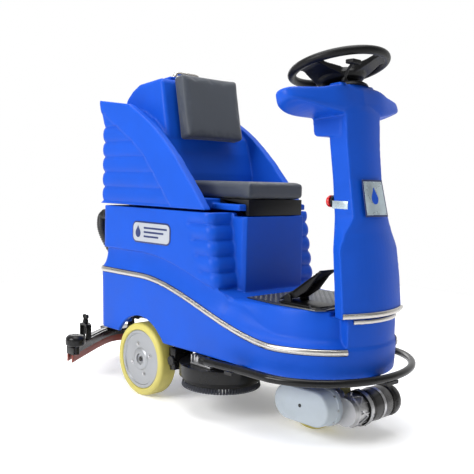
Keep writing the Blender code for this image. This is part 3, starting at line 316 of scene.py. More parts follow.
def make_materials():
    """Every finish by the name that piece() uses: its own name, colour, roughness and the rest."""
    near_black = (0.004, 0.004, 0.0045)
    dark_grey = (0.010, 0.010, 0.011)
    for key, name, colour, roughness, rest in (
        # The blue turns darker and greyer towards the bottom.
        ("blue", "moulded_blue", (0.004, 0.066, 0.45), 0.46,
         dict(spread=0.07, grain=1400, bump=0.12, coat=0.02, specular=0.14, grime_and_shade=0.25,
              grime_and_shade_colour=(0.02, 0.03, 0.10))),
        ("black", "black_plastic", near_black, 0.42,
         dict(specular=0.18, spread=0.3, grain=1600, bump=0.15, grime_and_shade=0.4, grime_and_shade_colour=SOOT)),
        ("steel_black", "black_enamel", near_black, 0.28,
         dict(specular=0.22, spread=0.25, grain=700, bump=0.08, coat=0.06, grime_and_shade=0.35, grime_and_shade_colour=SOOT)),
        ("dark", "motor_enamel", dark_grey, 0.30,
         dict(metallic=0.3, spread=0.2, bump=0.12, grime_and_shade=0.4, grime_and_shade_colour=(0.08, 0.07, 0.06))),
        ("frame", "frame_paint", dark_grey, 0.5,
         dict(metallic=0.2, spread=0.25, grain=1200, bump=0.12, grime_and_shade=0.5, grime_and_shade_colour=GREASE)),
        ("cushion", "vinyl", (0.030, 0.037, 0.050), 0.50,
         dict(spread=0.10, grain=1500, bump=0.06, sheen=0.15, cells=420, cell_bump=0.25)),
        ("chrome", "polished_strip", (0.50, 0.48, 0.45), 0.28,
         dict(metallic=1.0, spread=0.06, blotch=9, grain=1400, bump=0.05, stretch=(1, 1, 14),
              rough_spread=0.07)),
        ("aluminium", "cast_aluminium", (0.42, 0.42, 0.43), 0.36,
         dict(metallic=0.9, spread=0.10, grain=1500, bump=0.25, grime_and_shade=0.35, grime_and_shade_colour=(0.25, 0.24, 0.22))),
        ("hub", "machined_hub", (0.32, 0.33, 0.345), 0.36,
         dict(metallic=0.7, spread=0.06, grain=1300, bump=0.08, grime_and_shade=0.3, grime_and_shade_colour=(0.35, 0.35, 0.34))),
        ("steel", "steel", (0.45, 0.45, 0.46), 0.32, dict(metallic=1.0, spread=0.12, grain=1400)),
        ("cover", "gear_cover_enamel", (0.40, 0.45, 0.49), 0.45,
         dict(spread=0.05, grain=800, bump=0.15, grime_and_shade=0.3, grime_and_shade_colour=(0.22, 0.23, 0.23))),
        # The tyre's darker yellow towards the bottom is painted shade on its lower tread.
        ("tyre", "polyurethane", (0.50, 0.44, 0.10), 0.48,
         dict(spread=0.06, grain=700, bump=0.08, grime_and_shade=0.55, grime_and_shade_colour=(0.30, 0.25, 0.09), coat=0.1)),
        ("bristle", "bristle", (0.02, 0.022, 0.03), 0.7,
         dict(spread=0.3, blotch=300, grain=1800, bump=0.4, stretch=(1, 1, 0.1))),
        ("blade", "red_rubber", (0.22, 0.035, 0.020), 0.5, dict(spread=0.15, grain=1200)),
        ("hose", "hose_rubber", dark_grey, 0.4, dict(spread=0.3)),
        ("mat", "checker_alloy", (0.12, 0.125, 0.13), 0.38,
         dict(metallic=0.85, spread=0.18, grain=1000, bump=0.15)),
        ("red", "signal_red", (0.62, 0.010, 0.012), 0.3, dict(bump=0.04, coat=0.3)),
        ("grey", "label_grey", (0.34, 0.36, 0.40), 0.45, dict(spread=0.03, bump=0.03)),
        ("white", "plate_metal", (0.42, 0.50, 0.54), 0.30,
         dict(metallic=0.5, spread=0.25, blotch=14, bump=0.03)),
        ("navy", "print_navy", (0.010, 0.022, 0.10), 0.4, dict(spread=0.05, bump=0.03)),
    ):
        MATERIALS[key] = finish(name, colour, roughness, **rest)


# Mesh tools


def loft(rings, closed=False):
    bm = bmesh.new()
    rows = [[bm.verts.new(point) for point in ring] for ring in rings]
    pairs = list(zip(rows, rows[1:])) + ([(rows[-1], rows[0])] if closed else [])
    for low, high in pairs:
        for i, corner in enumerate(low):
            j = (i + 1) % len(low)
            bm.faces.new((corner, low[j], high[j], high[i]))
    if not closed:
        ends = [bm.faces.new(rows[0]), bm.faces.new(rows[-1])]
        if len(rows[0]) > 4:
            bmesh.ops.triangulate(bm, faces=ends)
    return bm


def mirrored(half):
    return list(half) + [(x, -y, z) for x, y, z in half[-2:0:-1]]


def box(low, high):
    (x0, y0, z0), (x1, y1, z1) = low, high
    return loft([[(x0, y0, z), (x1, y0, z), (x1, y1, z), (x0, y1, z)] for z in (z0, z1)])


def slab(outline, low, high, axis="Y"):
    place = {
        "X": lambda a, b, t: (t, a, b),
        "Y": lambda a, b, t: (a, t, b),
        "Z": lambda a, b, t: (a, b, t),
    }[axis]
    return loft([[place(a, b, t) for a, b in outline] for t in (low, high)])


def turned(profile, centre, axis="Y", steps=64, closed=False):
    """A solid of revolution about an axis; closed profiles leave a bore."""
    bm = bmesh.new()
    rows = []
    for i in range(steps):
        turn = 2 * math.pi * i / steps
        row = []
        for along, radius in profile:
            a, b = radius * math.cos(turn), radius * math.sin(turn)
            offset = {"X": (along, a, b), "Y": (a, along, b), "Z": (a, b, along)}[axis]
            row.append(bm.verts.new(Vector(centre) + Vector(offset)))
        rows.append(row)
    count = len(profile)
    for i, low in enumerate(rows):
        high = rows[(i + 1) % steps]
        for k in range(count if closed else count - 1):
            m = (k + 1) % count
            bm.faces.new((low[k], low[m], high[m], high[k]))
    if not closed:
        bm.faces.new([row[0] for row in rows])
        bm.faces.new([row[-1] for row in reversed(rows)])
    return bm


def swept(path, radius, sides=16, closed=False):
    """A round bar along a path; radius may be one number or one for each point."""
    points = [Vector(point) for point in path]
    radii = radius if isinstance(radius, list) else [radius] * len(points)
    rings = []
    side = None
    count = len(points)
    for i, point in enumerate(points):
        if closed:
            ahead = points[(i + 1) % count] - points[i - 1]
        else:
            ahead = points[min(i + 1, count - 1)] - points[max(i - 1, 0)]
        ahead.normalize()
        if side is None:
            side = ahead.orthogonal().normalized()
        side = (side - ahead * side.dot(ahead)).normalized()
        up = ahead.cross(side)
        ring = []
        for k in range(sides):
            turn = 2 * math.pi * k / sides
            ring.append(point + radii[i] * (math.cos(turn) * side + math.sin(turn) * up))
        rings.append(ring)
    return loft(rings, closed)


def moved(bm, matrix):
    bmesh.ops.transform(bm, matrix=matrix, verts=bm.verts)
    return bm


def merged(*parts):
    """Several meshes in one, without joining them."""
    whole = bmesh.new()
    for part in parts:
        mesh = bpy.data.meshes.new("part")
        part.to_mesh(mesh)
        part.free()
        whole.from_mesh(mesh)
        bpy.data.meshes.remove(mesh)
    return whole


def bevelled(bm, width, segments=3, angle=30):
    """Rounds the edges sharper than an angle."""
    bmesh.ops.recalc_face_normals(bm, faces=bm.faces)
    edges = [e for e in bm.edges if len(e.link_faces) == 2 and e.calc_face_angle(0) > math.radians(angle)]
    bmesh.ops.bevel(bm, geom=edges, offset=width, segments=segments, profile=0.5, affect="EDGES",
                    clamp_overlap=True)
    return bm


def arc(centre, radius, start, end, steps):
    points = []
    for i in range(steps + 1):
        turn = math.radians(start + (end - start) * i / steps)
        points.append((centre[0] + radius * math.cos(turn), centre[1] + radius * math.sin(turn)))
    return points


def smoothstep(value, low, high):
    t = np.clip((value - low) / (high - low), 0.0, 1.0)
    return t * t * (3 - 2 * t)


def smooth_route(route, per_span=6):
    """Catmull-Rom points through a route."""
    points = [Vector(point) for point in route]
    padded = [points[0] * 2 - points[1], *points, points[-1] * 2 - points[-2]]
    out = []
    for i in range(1, len(padded) - 2):
        a, b, c, d = padded[i - 1 : i + 3]
        for k in range(per_span):
            t = k / per_span
            out.append(0.5 * (2 * b + (c - a) * t + (2 * a - 5 * b + 4 * c - d) * t * t
                              + (3 * b - a - 3 * c + d) * t * t * t))
    return out + [points[-1]]


def as_object(name, bm, shift=True):
    bmesh.ops.recalc_face_normals(bm, faces=bm.faces)
    mesh = bpy.data.meshes.new(name)
    bm.to_mesh(mesh)
    bm.free()
    if shift:
        mesh.transform(Matrix.Translation((AXLE_X, 0, 0)))
    obj = bpy.data.objects.new(name, mesh)
    scene.collection.objects.link(obj)
    return obj


def shaded(obj, angle=40):
    obj.data.shade_smooth()
    obj.data.set_sharp_from_angle(angle=math.radians(angle))


def apply_modifiers(obj):
    graph = bpy.context.evaluated_depsgraph_get()
    mesh = bpy.data.meshes.new_from_object(obj.evaluated_get(graph))
    obj.modifiers.clear()
    old = obj.data
    obj.data = mesh
    bpy.data.meshes.remove(old)


def modified(obj, kind, **settings):
    """Adds one modifier, sets it up and applies it."""
    modifier = obj.modifiers.new(kind.lower(), kind)
    for key, value in settings.items():
        setattr(modifier, key, value)
    apply_modifiers(obj)


def combine(obj, shape, operation):
    """Applies a Boolean with a shape, which is a bmesh or an object and is used up."""
    tool = as_object("tool", shape, shift=False) if isinstance(shape, bmesh.types.BMesh) else shape
    modified(obj, "BOOLEAN", object=tool, operation=operation, solver="MANIFOLD")
    bpy.data.objects.remove(tool, do_unlink=True)


def cut(obj, *shapes):
    for shape in shapes:
        combine(obj, shape, "DIFFERENCE")


def join(obj, shape):
    combine(obj, shape, "UNION")


def soften(obj, voxel, rounds):
    """Turns hard unions into one moulded skin: fine voxels, then smoothing."""
    modified(obj, "REMESH", mode="VOXEL", voxel_size=voxel, adaptivity=0.0)
    modified(obj, "SMOOTH", factor=0.5, iterations=rounds)


def points_of(obj):
    flat = np.empty(len(obj.data.vertices) * 3)
    obj.data.vertices.foreach_get("co", flat)
    return flat.reshape(-1, 3)


def set_points(obj, points):
    obj.data.vertices.foreach_set("co", points.ravel())
    obj.data.update()


def piece(name, source, material, body, replaces=(), angle=40):
    """Names, paints and hands over a finished piece."""
    obj = as_object(name, source) if isinstance(source, bmesh.types.BMesh) else source
    obj.name = name
    obj.data.materials.clear()
    obj.data.materials.append(MATERIALS[material])
    shaded(obj, angle)
    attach(obj, body)
    if replaces:
        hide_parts(*replaces)
    return obj


def to_frame(obj):
    """Moves an object that was worked on from the rear axle into the frame."""
    obj.data.transform(Matrix.Translation((AXLE_X, 0, 0)))
    return obj


# Main body


def strip_z(x):
    return 0.468 - 0.150 * smoothstep(x, 0.0, 0.72)


def crease_z(x):
    return strip_z(x) + 0.084 - 0.048 * smoothstep(x, 0.50, 0.70)


def band_inset(x, rear_share):
    return 0.012 + 0.024 * rear_share + 0.022 * smoothstep(x, 0.38, 0.52)


def body_stations(corner_steps=10, nose_steps=28, along=46):
    half = BODY_HALF_WIDTH
    stations = [(BODY_REAR_X, 0.0, -1.0, 0.0, 1.0), (BODY_REAR_X, 0.10, -1.0, 0.0, 1.0)]
    cx, cy = BODY_REAR_X + REAR_CORNER, half - REAR_CORNER
    for i in range(corner_steps + 1):
        turn = math.pi - 0.5 * math.pi * i / corner_steps
        nx, ny = math.cos(turn), math.sin(turn)
        stations.append((cx + REAR_CORNER * nx, cy + REAR_CORNER * ny, nx, ny, 1 - i / corner_steps))
    for i in range(1, along):
        stations.append((cx + (NOSE_CENTRE_X - cx) * i / along, half, 0.0, 1.0, 0.0))
    for i in range(nose_steps + 1):
        turn = 0.5 * math.pi * (1 - i / nose_steps)
        nx, ny = math.cos(turn), math.sin(turn)
        stations.append((NOSE_CENTRE_X + half * nx, half * ny, nx, ny, 0.0))
    stations[-1] = (NOSE_CENTRE_X + half, 0.0, 1.0, 0.0, 0.0)
    return stations


def inset(station, distance):
    x, y, nx, ny, _ = station
    return x - distance * nx, max(y - distance * ny, 0.0)


def skirt():
    rows = [[] for _ in range(13)]
    for station in body_stations():
        x = station[0]
        strip, crease = strip_z(x), crease_z(x)
        if x > 0.46:
            crease = min(crease, FLOOR_Z - 0.008)
        step = band_inset(x, station[4])
        lean = 0.014 * smoothstep(x, 0.44, 0.52)
        top = max(FLOOR_Z, crease + 0.006)
        levels = [(BODY_BOTTOM_Z, 0.004), (BODY_BOTTOM_Z + 0.006, 0.0), (strip - 0.014, -0.004),
                  (strip + 0.003, -0.004), (strip + 0.008, -0.001)]
        for k in range(1, 6):
            t = k / 5
            bow = math.sin(0.5 * math.pi * t) ** 0.8
            levels.append((strip + 0.008 + t * (crease - strip - 0.008), step * bow))
        levels += [(crease + 0.35 * (top - crease), step + 0.25 * lean),
                   (crease + 0.80 * (top - crease), step + 0.70 * lean), (top, step + lean)]
        for row, (z, distance) in zip(rows, levels):
            row.append((*inset(station, distance), z))
    return loft([mirrored(row) for row in rows])


def scallop(z):
    place = ((SCALLOP_TOP_Z - z) / SCALLOP_PITCH) % 1.0
    return math.sqrt(max(1.0 - (2 * place - 1) ** 2, 0.0))


def box_ring(z, corner_steps=10):
    half = BODY_HALF_WIDTH
    front = 0.393 + 0.17 * (0.70 - z)
    bulge = SCALLOP_DEPTH * (scallop(z) - 1)
    start = 0.25 + 0.42 * (0.70 - z)
    ring = [(BOX_REAR_X, 0.0, z)]
    for a, b in arc((BOX_REAR_X + REAR_CORNER, half - REAR_CORNER), REAR_CORNER, 180, 90, corner_steps):
        ring.append((a, b, z))
    radius = 0.035
    for i in range(1, 90):
        x = -0.22 + (front - radius + 0.22) * i / 90
        ring.append((x, half + bulge * smoothstep(x, start - 0.004, start + 0.034), z))
    for a, b in arc((front - radius, half - radius), radius + bulge, 90, 0, corner_steps):
        ring.append((a, b, z))
    for t in (0.25, 0.5, 0.75):
        ring.append((front + bulge, (half - radius) * (1 - t) + (BLOCK_HALF_WIDTH + 0.006) * t, z))
    ring.append((front + bulge * 0.6, BLOCK_HALF_WIDTH + 0.004, z))
    ring.append((max(BLOCK_FRONT_X - 0.012, front + 0.001), BLOCK_HALF_WIDTH, z))
    ring.append((BLOCK_FRONT_X, BLOCK_HALF_WIDTH - 0.010, z))
    ring.append((BLOCK_FRONT_X, 0.0, z))
    return ring


def battery_box():
    count = 84
    heights = [0.44 + (BOX_TOP_Z - 0.44) * i / count for i in range(count + 1)]
    return loft([mirrored(box_ring(z)) for z in heights])


def below_crease():
    xs = [BOX_REAR_X - 0.02 + 0.018 * i for i in range(44)]
    curve = [(x, float(crease_z(x)) + 0.002) for x in xs if x < 0.50]
    return slab([(curve[0][0], 0.40), *curve, (curve[-1][0], 0.40)], -0.30, 0.30)


def main_body():
    upper = as_object("box_shape", battery_box(), shift=False)
    cut(upper, below_crease())
    body = as_object("main_body_skin", skirt(), shift=False)
    join(body, upper)
    nose = arc((NOSE_CENTRE_X, 0.0), BODY_HALF_WIDTH - 0.0005, -29, 29, 24)
    join(body, slab([(0.80, -0.10), *nose, (0.80, 0.10)], BODY_BOTTOM_Z + 0.004, 0.43, "Z"))
    cut(body, box((0.825, -0.163, COLUMN_SEAT_Z), (0.98, 0.163, 0.50)))
    for side in (-1, 1):
        arch = turned([(0.17, ARCH_RADIUS), (0.30, ARCH_RADIUS)], (0, 0, REAR_WHEEL_RADIUS), steps=64)
        cut(body, moved(arch, Matrix.Scale(side, 4, (0, 1, 0))))
    cut(body, box((-0.268, -0.245, 0.20), (0.62, 0.245, BAY_TOP_Z)))
    front_bay = arc((NOSE_CENTRE_X, 0.0), 0.215, -62, 62, 16)
    cut(body, slab([(0.465, -0.19), *front_bay, (0.465, 0.19)], 0.20, 0.408, "Z"))
    battery_bay = [(-0.238, -0.205), (-0.220, -0.243), (0.365, -0.243), (0.365, 0.243), (-0.220, 0.243),
                   (-0.238, 0.205)]
    cut(body, slab(battery_bay, BAY_TOP_Z + 0.008, 0.80, "Z"))
    cut(body, box((0.30, -0.140, 0.45), (BLOCK_FRONT_X - 0.008, 0.140, 0.80)))
    cut(body, box((0.4, -0.18, BLOCK_TOP_Z), (0.50, 0.18, 0.80)))
    cut(body, box((-0.30, -0.105, 0.20), (-0.26, 0.105, 0.285)))
    soften(body, BODY_VOXEL, 2)
    piece("main_body_skin", to_frame(body), "blue", "chassis", ["main_body"], angle=180)


def strip_ring(station, side, z_low, z_high, proud):
    """Half-round section of a polished strip at a station of the body's plan."""
    z = float(strip_z(station[0]))
    ring = []
    for k in range(9):
        turn = math.pi * k / 8
        height = 0.5 * (z_low + z_high) - 0.5 * (z_high - z_low) * math.cos(turn)
        x, y = inset(station, -0.0040 - proud * math.sin(turn))
        ring.append((x, side * y, z + height))
    x, y = inset(station, -0.0030)
    ring.append((x, side * y, z + z_high))
    ring.append((x, side * y, z + z_low))
    return ring


def side_trims():
    stations = [s for s in body_stations() if s[1] > 0.12 and s[0] > BODY_REAR_X + 0.012]
    for name, side in (("right", -1), ("left", 1)):
        rings = [strip_ring(s, side, -0.0125, 0.0065, 0.0055) for s in stations]
        piece(f"side_strip_{name}", loft(rings), "chrome", "chassis", [f"trim_{name}"])
        rings = [strip_ring(s, side, -0.0142, 0.0082, 0.0016) for s in stations]
        piece(f"strip_seal_{name}", loft(rings), "black", "chassis")


# Steering column and console

COLUMN_LEVELS = (
    (0.4185, 0.842, 0.140, 0.890, 0.157, 0.040),
    (0.535, 0.826, 0.132, 0.879, 0.155, 0.036),
    (0.630, 0.812, 0.125, 0.865, 0.153, 0.032),
    (0.680, 0.800, 0.108, 0.862, 0.125, 0.026),
    (0.728, 0.786, 0.090, 0.868, 0.091, 0.018),
    (0.850, 0.765, 0.080, 0.843, 0.084, 0.014),
    (0.960, 0.748, 0.080, 0.829, 0.087, 0.012),
    (1.060, 0.738, 0.080, 0.822, 0.090, 0.012),
    (1.150, 0.735, 0.075, 0.792, 0.086, 0.010),
)


def column_level(z):
    """The column's section at any height, between the drawn ones."""
    heights = [level[0] for level in COLUMN_LEVELS]
    return (z, *[float(np.interp(z, heights, [level[k] for level in COLUMN_LEVELS])) for k in range(1, 6)])


def column_ring(level):
    z, rear, rear_half, front, front_half, bow = level
    half = [(rear, 0.0), (rear, 0.5 * rear_half)]
    half += [(rear + a, rear_half - 0.012 + b) for a, b in arc((0.012, 0.0), 0.012, 180, 90, 4)]
    for t in (0.25, 0.5, 0.75):
        half.append((rear + 0.012 + (front - rear - 0.012) * t, rear_half + (front_half - rear_half) * t))
    for k in range(9):
        t = 1 - k / 8
        half.append((front + bow * (1 - t * t), front_half * t))
    return [(x, y, z) for x, y in half]


def console_outline(points, shrink):
    """A smooth half outline of the console, pulled in by shrink."""
    middle_x = 0.75
    ring = []
    for point in smooth_route(points, 8):
        flat = Vector((point.x - middle_x, point.y, 0))
        pulled = flat * (1 - shrink / max(flat.length, 1e-6))
        ring.append((middle_x + pulled.x, max(pulled.y, 0.0), point.z))
    ring[0] = (ring[0][0], 0.0, ring[0][2])
    ring[-1] = (ring[-1][0], 0.0, ring[-1][2])
    return ring


def console_rings():
    low = [
        (0.668, 0.000, 1.040), (0.668, 0.120, 1.040), (0.670, 0.200, 1.042), (0.688, 0.252, 1.050),
        (0.712, 0.276, 1.060), (0.742, 0.286, 1.072), (0.768, 0.276, 1.078), (0.786, 0.245, 1.074),
        (0.808, 0.180, 1.060), (0.829, 0.100, 1.048), (0.836, 0.000, 1.048),
    ]
    high = [
        (0.664, 0.000, 1.108), (0.664, 0.120, 1.106), (0.666, 0.200, 1.102), (0.680, 0.256, 1.103),
        (0.700, 0.280, 1.108), (0.726, 0.289, 1.113), (0.750, 0.279, 1.119), (0.766, 0.245, 1.122),
        (0.788, 0.180, 1.127), (0.805, 0.110, 1.140), (0.812, 0.000, 1.147),
    ]
    rings = []
    for share, shrink in ((0.0, 0.030), (0.05, 0.016), (0.13, 0.008), (0.26, 0.002), (0.42, 0.0), (0.80, 0.0),
                          (0.93, 0.0025), (0.985, 0.007), (1.0, 0.012)):
        level = [tuple(a + (b - a) * share for a, b in zip(p, q)) for p, q in zip(low, high)]
        rings.append(console_outline(level, shrink))
    return rings


def on_wheel_axis(along, offset=(0.0, 0.0)):
    normal = Vector((-math.sin(WHEEL_TILT), 0, math.cos(WHEEL_TILT)))
    ahead = Vector((math.cos(WHEEL_TILT), 0, math.sin(WHEEL_TILT)))
    centre = Vector((WHEEL_CENTRE[0], 0, WHEEL_CENTRE[1]))
    return centre + along * normal + offset[0] * ahead + Vector((0, offset[1], 0))


def wheel_frame():
    return Matrix.Translation(on_wheel_axis(0.0)) @ Matrix.Rotation(-WHEEL_TILT, 4, "Y")


def steering_column():
    heights = [COLUMN_FOOT_Z + (COLUMN_TOP_Z - COLUMN_FOOT_Z) * i / 70 for i in range(71)]
    column = as_object("column_skin", loft([mirrored(column_ring(column_level(z))) for z in heights]),
                       shift=False)
    join(column, loft([mirrored(ring) for ring in console_rings()]))
    pocket = [(0.682, 1.060), (0.692, 0.990), (0.702, 0.982), (0.800, 0.982), (0.800, 1.060)]
    join(column, slab(pocket, -0.088, 0.088))
    cut(column, moved(box((-0.070, -0.062, -0.0840), (0.066, 0.062, 0.0)), wheel_frame()))
    inner = []
    for z in [0.405 + (1.05 - 0.405) * i / 30 for i in range(31)]:
        _, rear, rear_half, front, front_half, bow = column_level(max(z, COLUMN_FOOT_Z))
        inner.append(column_ring((z, rear + COLUMN_WALL, rear_half - COLUMN_WALL, front - COLUMN_WALL,
                                  front_half - COLUMN_WALL, bow)))
    cut(column, loft([mirrored(ring) for ring in inner]))
    cut(column, moved(turned([(-0.30, SHAFT_BORE), (0.0, SHAFT_BORE)], (0, 0, 0), "Z", 32), wheel_frame()))
    soften(column, BODY_VOXEL, 6)
    piece("column_skin", to_frame(column), "blue", "chassis", ["steering_column"], angle=180)
    cowl = turned([(-0.0835, 0.058), (-0.0835, 0.084), (-0.0770, 0.082), (-0.0700, 0.074), (-0.0640, 0.062),
                   (-0.0605, 0.050), (-0.0605, SHAFT_BORE), (-0.0835, SHAFT_BORE)], (0, 0, 0), "Z", 48,
                   closed=True)
    piece("wheel_cowl", moved(cowl, wheel_frame()), "black", "chassis", ["steering_cowl"])


def column_strip():
    front, half, bow = 0.890, 0.157, 0.040
    rings = []
    for k in range(25):
        t = 1 - k / 12
        x, y = front + bow * (1 - t * t), half * t
        slope = Vector((1.0, 2 * bow * t / half)).normalized()
        ring = []
        for i in range(9):
            turn = math.pi * i / 8
            out = 0.0008 + 0.0045 * math.sin(turn)
            ring.append((x + out * slope.x, y + out * slope.y, 0.4290 - 0.0085 * math.cos(turn)))
        rings.append(ring)
    return loft(rings)


def nose_strip():
    rings = []
    for k in range(25):
        turn = math.radians(-25 + 50 * k / 24)
        ring = []
        for i in range(9):
            bend = math.pi * i / 8
            out = BODY_HALF_WIDTH + 0.0004 + 0.0042 * math.sin(bend)
            ring.append((NOSE_CENTRE_X + out * math.cos(turn), out * math.sin(turn),
                         0.4085 - 0.0075 * math.cos(bend)))
        rings.append(ring)
    return loft(rings)


def water_drop(centre, width, height, point):
    """Outline of a drop: a circle whose upper half narrows to a point."""
    outline = []
    for i in range(36):
        turn = 2 * math.pi * i / 36
        lift = max(math.sin(turn), 0.0) ** 3
        outline.append((centre[0] + width * math.cos(turn) * (1 - 0.75 * lift),
                        centre[1] + height * math.sin(turn) + point * lift))
    return outline


def front_plate():
    lean = math.atan2(0.027, 0.119)
    place = Matrix.Translation((0.8905, 0, 0.731)) @ Matrix.Rotation(-lean, 4, "Y")
    shape = [(0.058, 0.0), (-0.058, 0.0), (-0.052, 0.119), (0.052, 0.119)]

    def scaled(share):
        return [(y * share, 0.0595 + (z - 0.0595) * share) for y, z in shape]

    back = bevelled(slab(shape, -0.0015, 0.0010, "X"), 0.0006, 2)
    piece("plate_frame", moved(back, place), "navy", "chassis", ["front_plate"])
    face = bevelled(slab(scaled(0.90), 0.0008, 0.0016, "X"), 0.0003, 2)
    piece("plate_face", moved(face, place), "white", "chassis")
    drop = water_drop((0.0, 0.058), 0.017, 0.018, 0.018)
    piece("plate_drop", moved(slab(drop, 0.0014, 0.0022, "X"), place), "blue", "chassis")
    tilt = Matrix.Translation((0.812, -0.0868, 0.766)) @ Matrix.Rotation(math.radians(-3.5), 4, "Z")
    label = moved(bevelled(box((-0.034, -0.0020, -0.0125), (0.030, 0.0020, 0.0125)), 0.0006, 2), tilt)
    piece("side_label", label, "white", "chassis")
    screws = [turned([(0.0012, 0.0026), (0.0022, 0.0024), (0.0027, 0.0012)], (0, y, z), "X", 12)
              for y, z in ((0.048, 0.010), (-0.048, 0.010), (0.043, 0.109), (-0.043, 0.109))]
    piece("plate_screws", moved(merged(*screws), place), "steel", "chassis")


# Recovery tank


def rib(z):
    """1 on the crest of a moulded rib of the tank, 0 in the valley between two."""
    place = np.mod((np.asarray(z) - RIB_BOTTOM_Z) / RIB_PITCH, 1.0)
    shape = np.sqrt(np.clip(1.0 - (2 * place - 1) ** 2, 0.0, 1.0))
    inside = (np.asarray(z) > RIB_BOTTOM_Z) & (np.asarray(z) < RIB_BOTTOM_Z + 5.02 * RIB_PITCH)
    return np.where(inside, shape, 1.0)


def tank_rear_edge(steps=70):
    points = [(-0.302, TANK_BOTTOM_Z)]
    for i in range(steps + 1):
        z = RIB_BOTTOM_Z + 5.0 * RIB_PITCH * i / steps
        points.append((-0.2760 - 0.0160 * float(rib(min(z, RIB_BOTTOM_Z + 4.999 * RIB_PITCH))), z))
    return points + [(-0.286, 1.050), (-0.296, 1.078), (-0.308, 1.105), (-0.3145, 1.130), (-0.313, 1.140),
                     (-0.306, 1.1430)]


def wing_outline():
    front = [
        (-0.104, 1.118), (-0.081, 1.108), (-0.020, 1.075), (0.038, 1.041), (0.081, 1.012), (0.137, 0.967),
        (0.199, 0.911), (0.245, 0.862), (0.284, 0.821), (0.323, 0.778), (0.352, 0.744), (0.363, TANK_BOTTOM_Z),
    ]
    return tank_rear_edge() + front


CREASE_LINE = ((0.730, 0.185), (0.776, 0.143), (0.866, 0.062), (0.933, -0.002), (0.987, -0.081),
               (1.078, -0.248))


def tank_side_detail(points):
    """Ribs on the tank's sides behind the diagonal crease, rounded rear corners, soft front band."""
    x, y, z = points[:, 0], points[:, 1], points[:, 2]
    rear = np.interp(z, [p[1] for p in tank_rear_edge()], [p[0] for p in tank_rear_edge()])
    corner = 0.030
    depth = np.clip(corner - (x - rear), 0.0, corner)
    limit = BODY_HALF_WIDTH - corner + np.sqrt(np.clip(corner ** 2 - depth ** 2, 0.0, None))
    y = np.sign(y) * np.minimum(np.abs(y), limit)
    edge = np.interp(z, [p[0] for p in CREASE_LINE], [p[1] for p in CREASE_LINE])
    behind = smoothstep(edge - x, -0.004, 0.020)
    outside = smoothstep(np.abs(y), 0.248, 0.256) * (z < 1.09)
    shift = behind * (0.0035 + 0.0100 * (1 - rib(z))) * outside
    points[:, 1] = y - np.sign(y) * shift


def recovery_tank():
    half = BODY_HALF_WIDTH
    inner = half - WING_THICKNESS
    tank = as_object("tank_skin", slab(wing_outline(), -half, half), shift=False)
    opening = [(-0.306, 1.300), (-0.306, 1.1422), (-0.18, 1.118), (-0.08, 1.090), (-0.02, 1.060),
               (0.020, 1.030),
               (0.050, 1.000), (0.072, 0.940), (0.092, 0.860), (0.100, 0.7685), (0.30, 0.7685), (0.30, 0.70),
               (0.60, 0.70), (0.60, 1.300)]
    cut(tank, slab(opening, -inner, inner))
    tower = [(-0.24, 1.04), (-0.238, 1.110), (-0.215, 1.150), (-0.180, 1.180), (-0.135, 1.203), (-0.002, 1.217),
             (0.012, 1.212), (0.058, 0.985), (0.02, 0.95)]
    join(tank, bevelled(slab(tower, -0.186, 0.186), 0.016, 4))
    join(tank, box((0.25, -0.170, TANK_BOTTOM_Z), (0.440, 0.170, 0.752)))
    cavity = [(-0.262, 0.740), (0.088, 0.740), (0.040, 0.985), (-0.03, 1.03), (-0.16, 1.095), (-0.262, 1.105)]
    cut(tank, slab(cavity, -0.222, 0.222))
    upper = [(-0.20, 1.05), (-0.20, 1.125), (-0.140, 1.170), (-0.118, 1.198), (-0.004, 1.209), (0.040, 0.995),
             (0.00, 0.98)]
    cut(tank, slab(upper, -0.178, 0.178))
    cut(tank, box((-0.105, -0.115, 1.17), (-0.020, 0.115, 1.24)))
    soften(tank, TANK_VOXEL, 5)
    points = points_of(tank)
    tank_side_detail(points)
    set_points(tank, points)
    modified(tank, "SMOOTH", factor=0.5, iterations=2)
    piece("tank_skin", to_frame(tank), "blue", "tank", ["recovery_tank"], angle=180)


def lid_frame():
    return Matrix.Translation((LID_HINGE[0], 0, LID_HINGE[1])) @ Matrix.Rotation(-LID_SLOPE, 4, "Y")


def tank_lid():
    lid = bevelled(box((0.002, -0.130, 0.0012), (0.119, 0.130, 0.0125)), 0.0035, 4)
    piece("lid_panel", moved(lid, lid_frame()), "blue", "lid", ["tank_lid"])
    path = [(0.062, -0.062, 0.0130), (0.062, -0.062, 0.028), (0.062, -0.056, 0.038), (0.062, -0.044, 0.043),
            (0.062, 0.044, 0.043), (0.062, 0.056, 0.038), (0.062, 0.062, 0.028), (0.062, 0.062, 0.0130)]
    bar = moved(swept(smooth_route(path), 0.0080), lid_frame())
    piece("lid_grip", bar, "chrome", "lid", ["lid_handle"])


# Cushions


def simulate(obj, cap):
    """Blows a closed skin up as cloth, and keeps each point within cap of its start."""
    start = points_of(obj).copy()
    settings = obj.modifiers.new("cloth", "CLOTH").settings
    settings.use_pressure = True
    settings.uniform_pressure_force = 4.0
    settings.effector_weights.gravity = 0.0
    settings.quality = 5
    settings.mass = 0.3
    settings.tension_stiffness = 15
    settings.compression_stiffness = 15
    settings.shear_stiffness = 5
    settings.bending_stiffness = 0.5
    for number in range(1, CLOTH_FRAMES + 1):
        scene.frame_set(number)
    apply_modifiers(obj)
    scene.frame_set(1)
    step = points_of(obj) - start
    length = np.linalg.norm(step, axis=1, keepdims=True)
    set_points(obj, start + step * np.minimum(1.0, cap / np.maximum(length, 1e-9)))


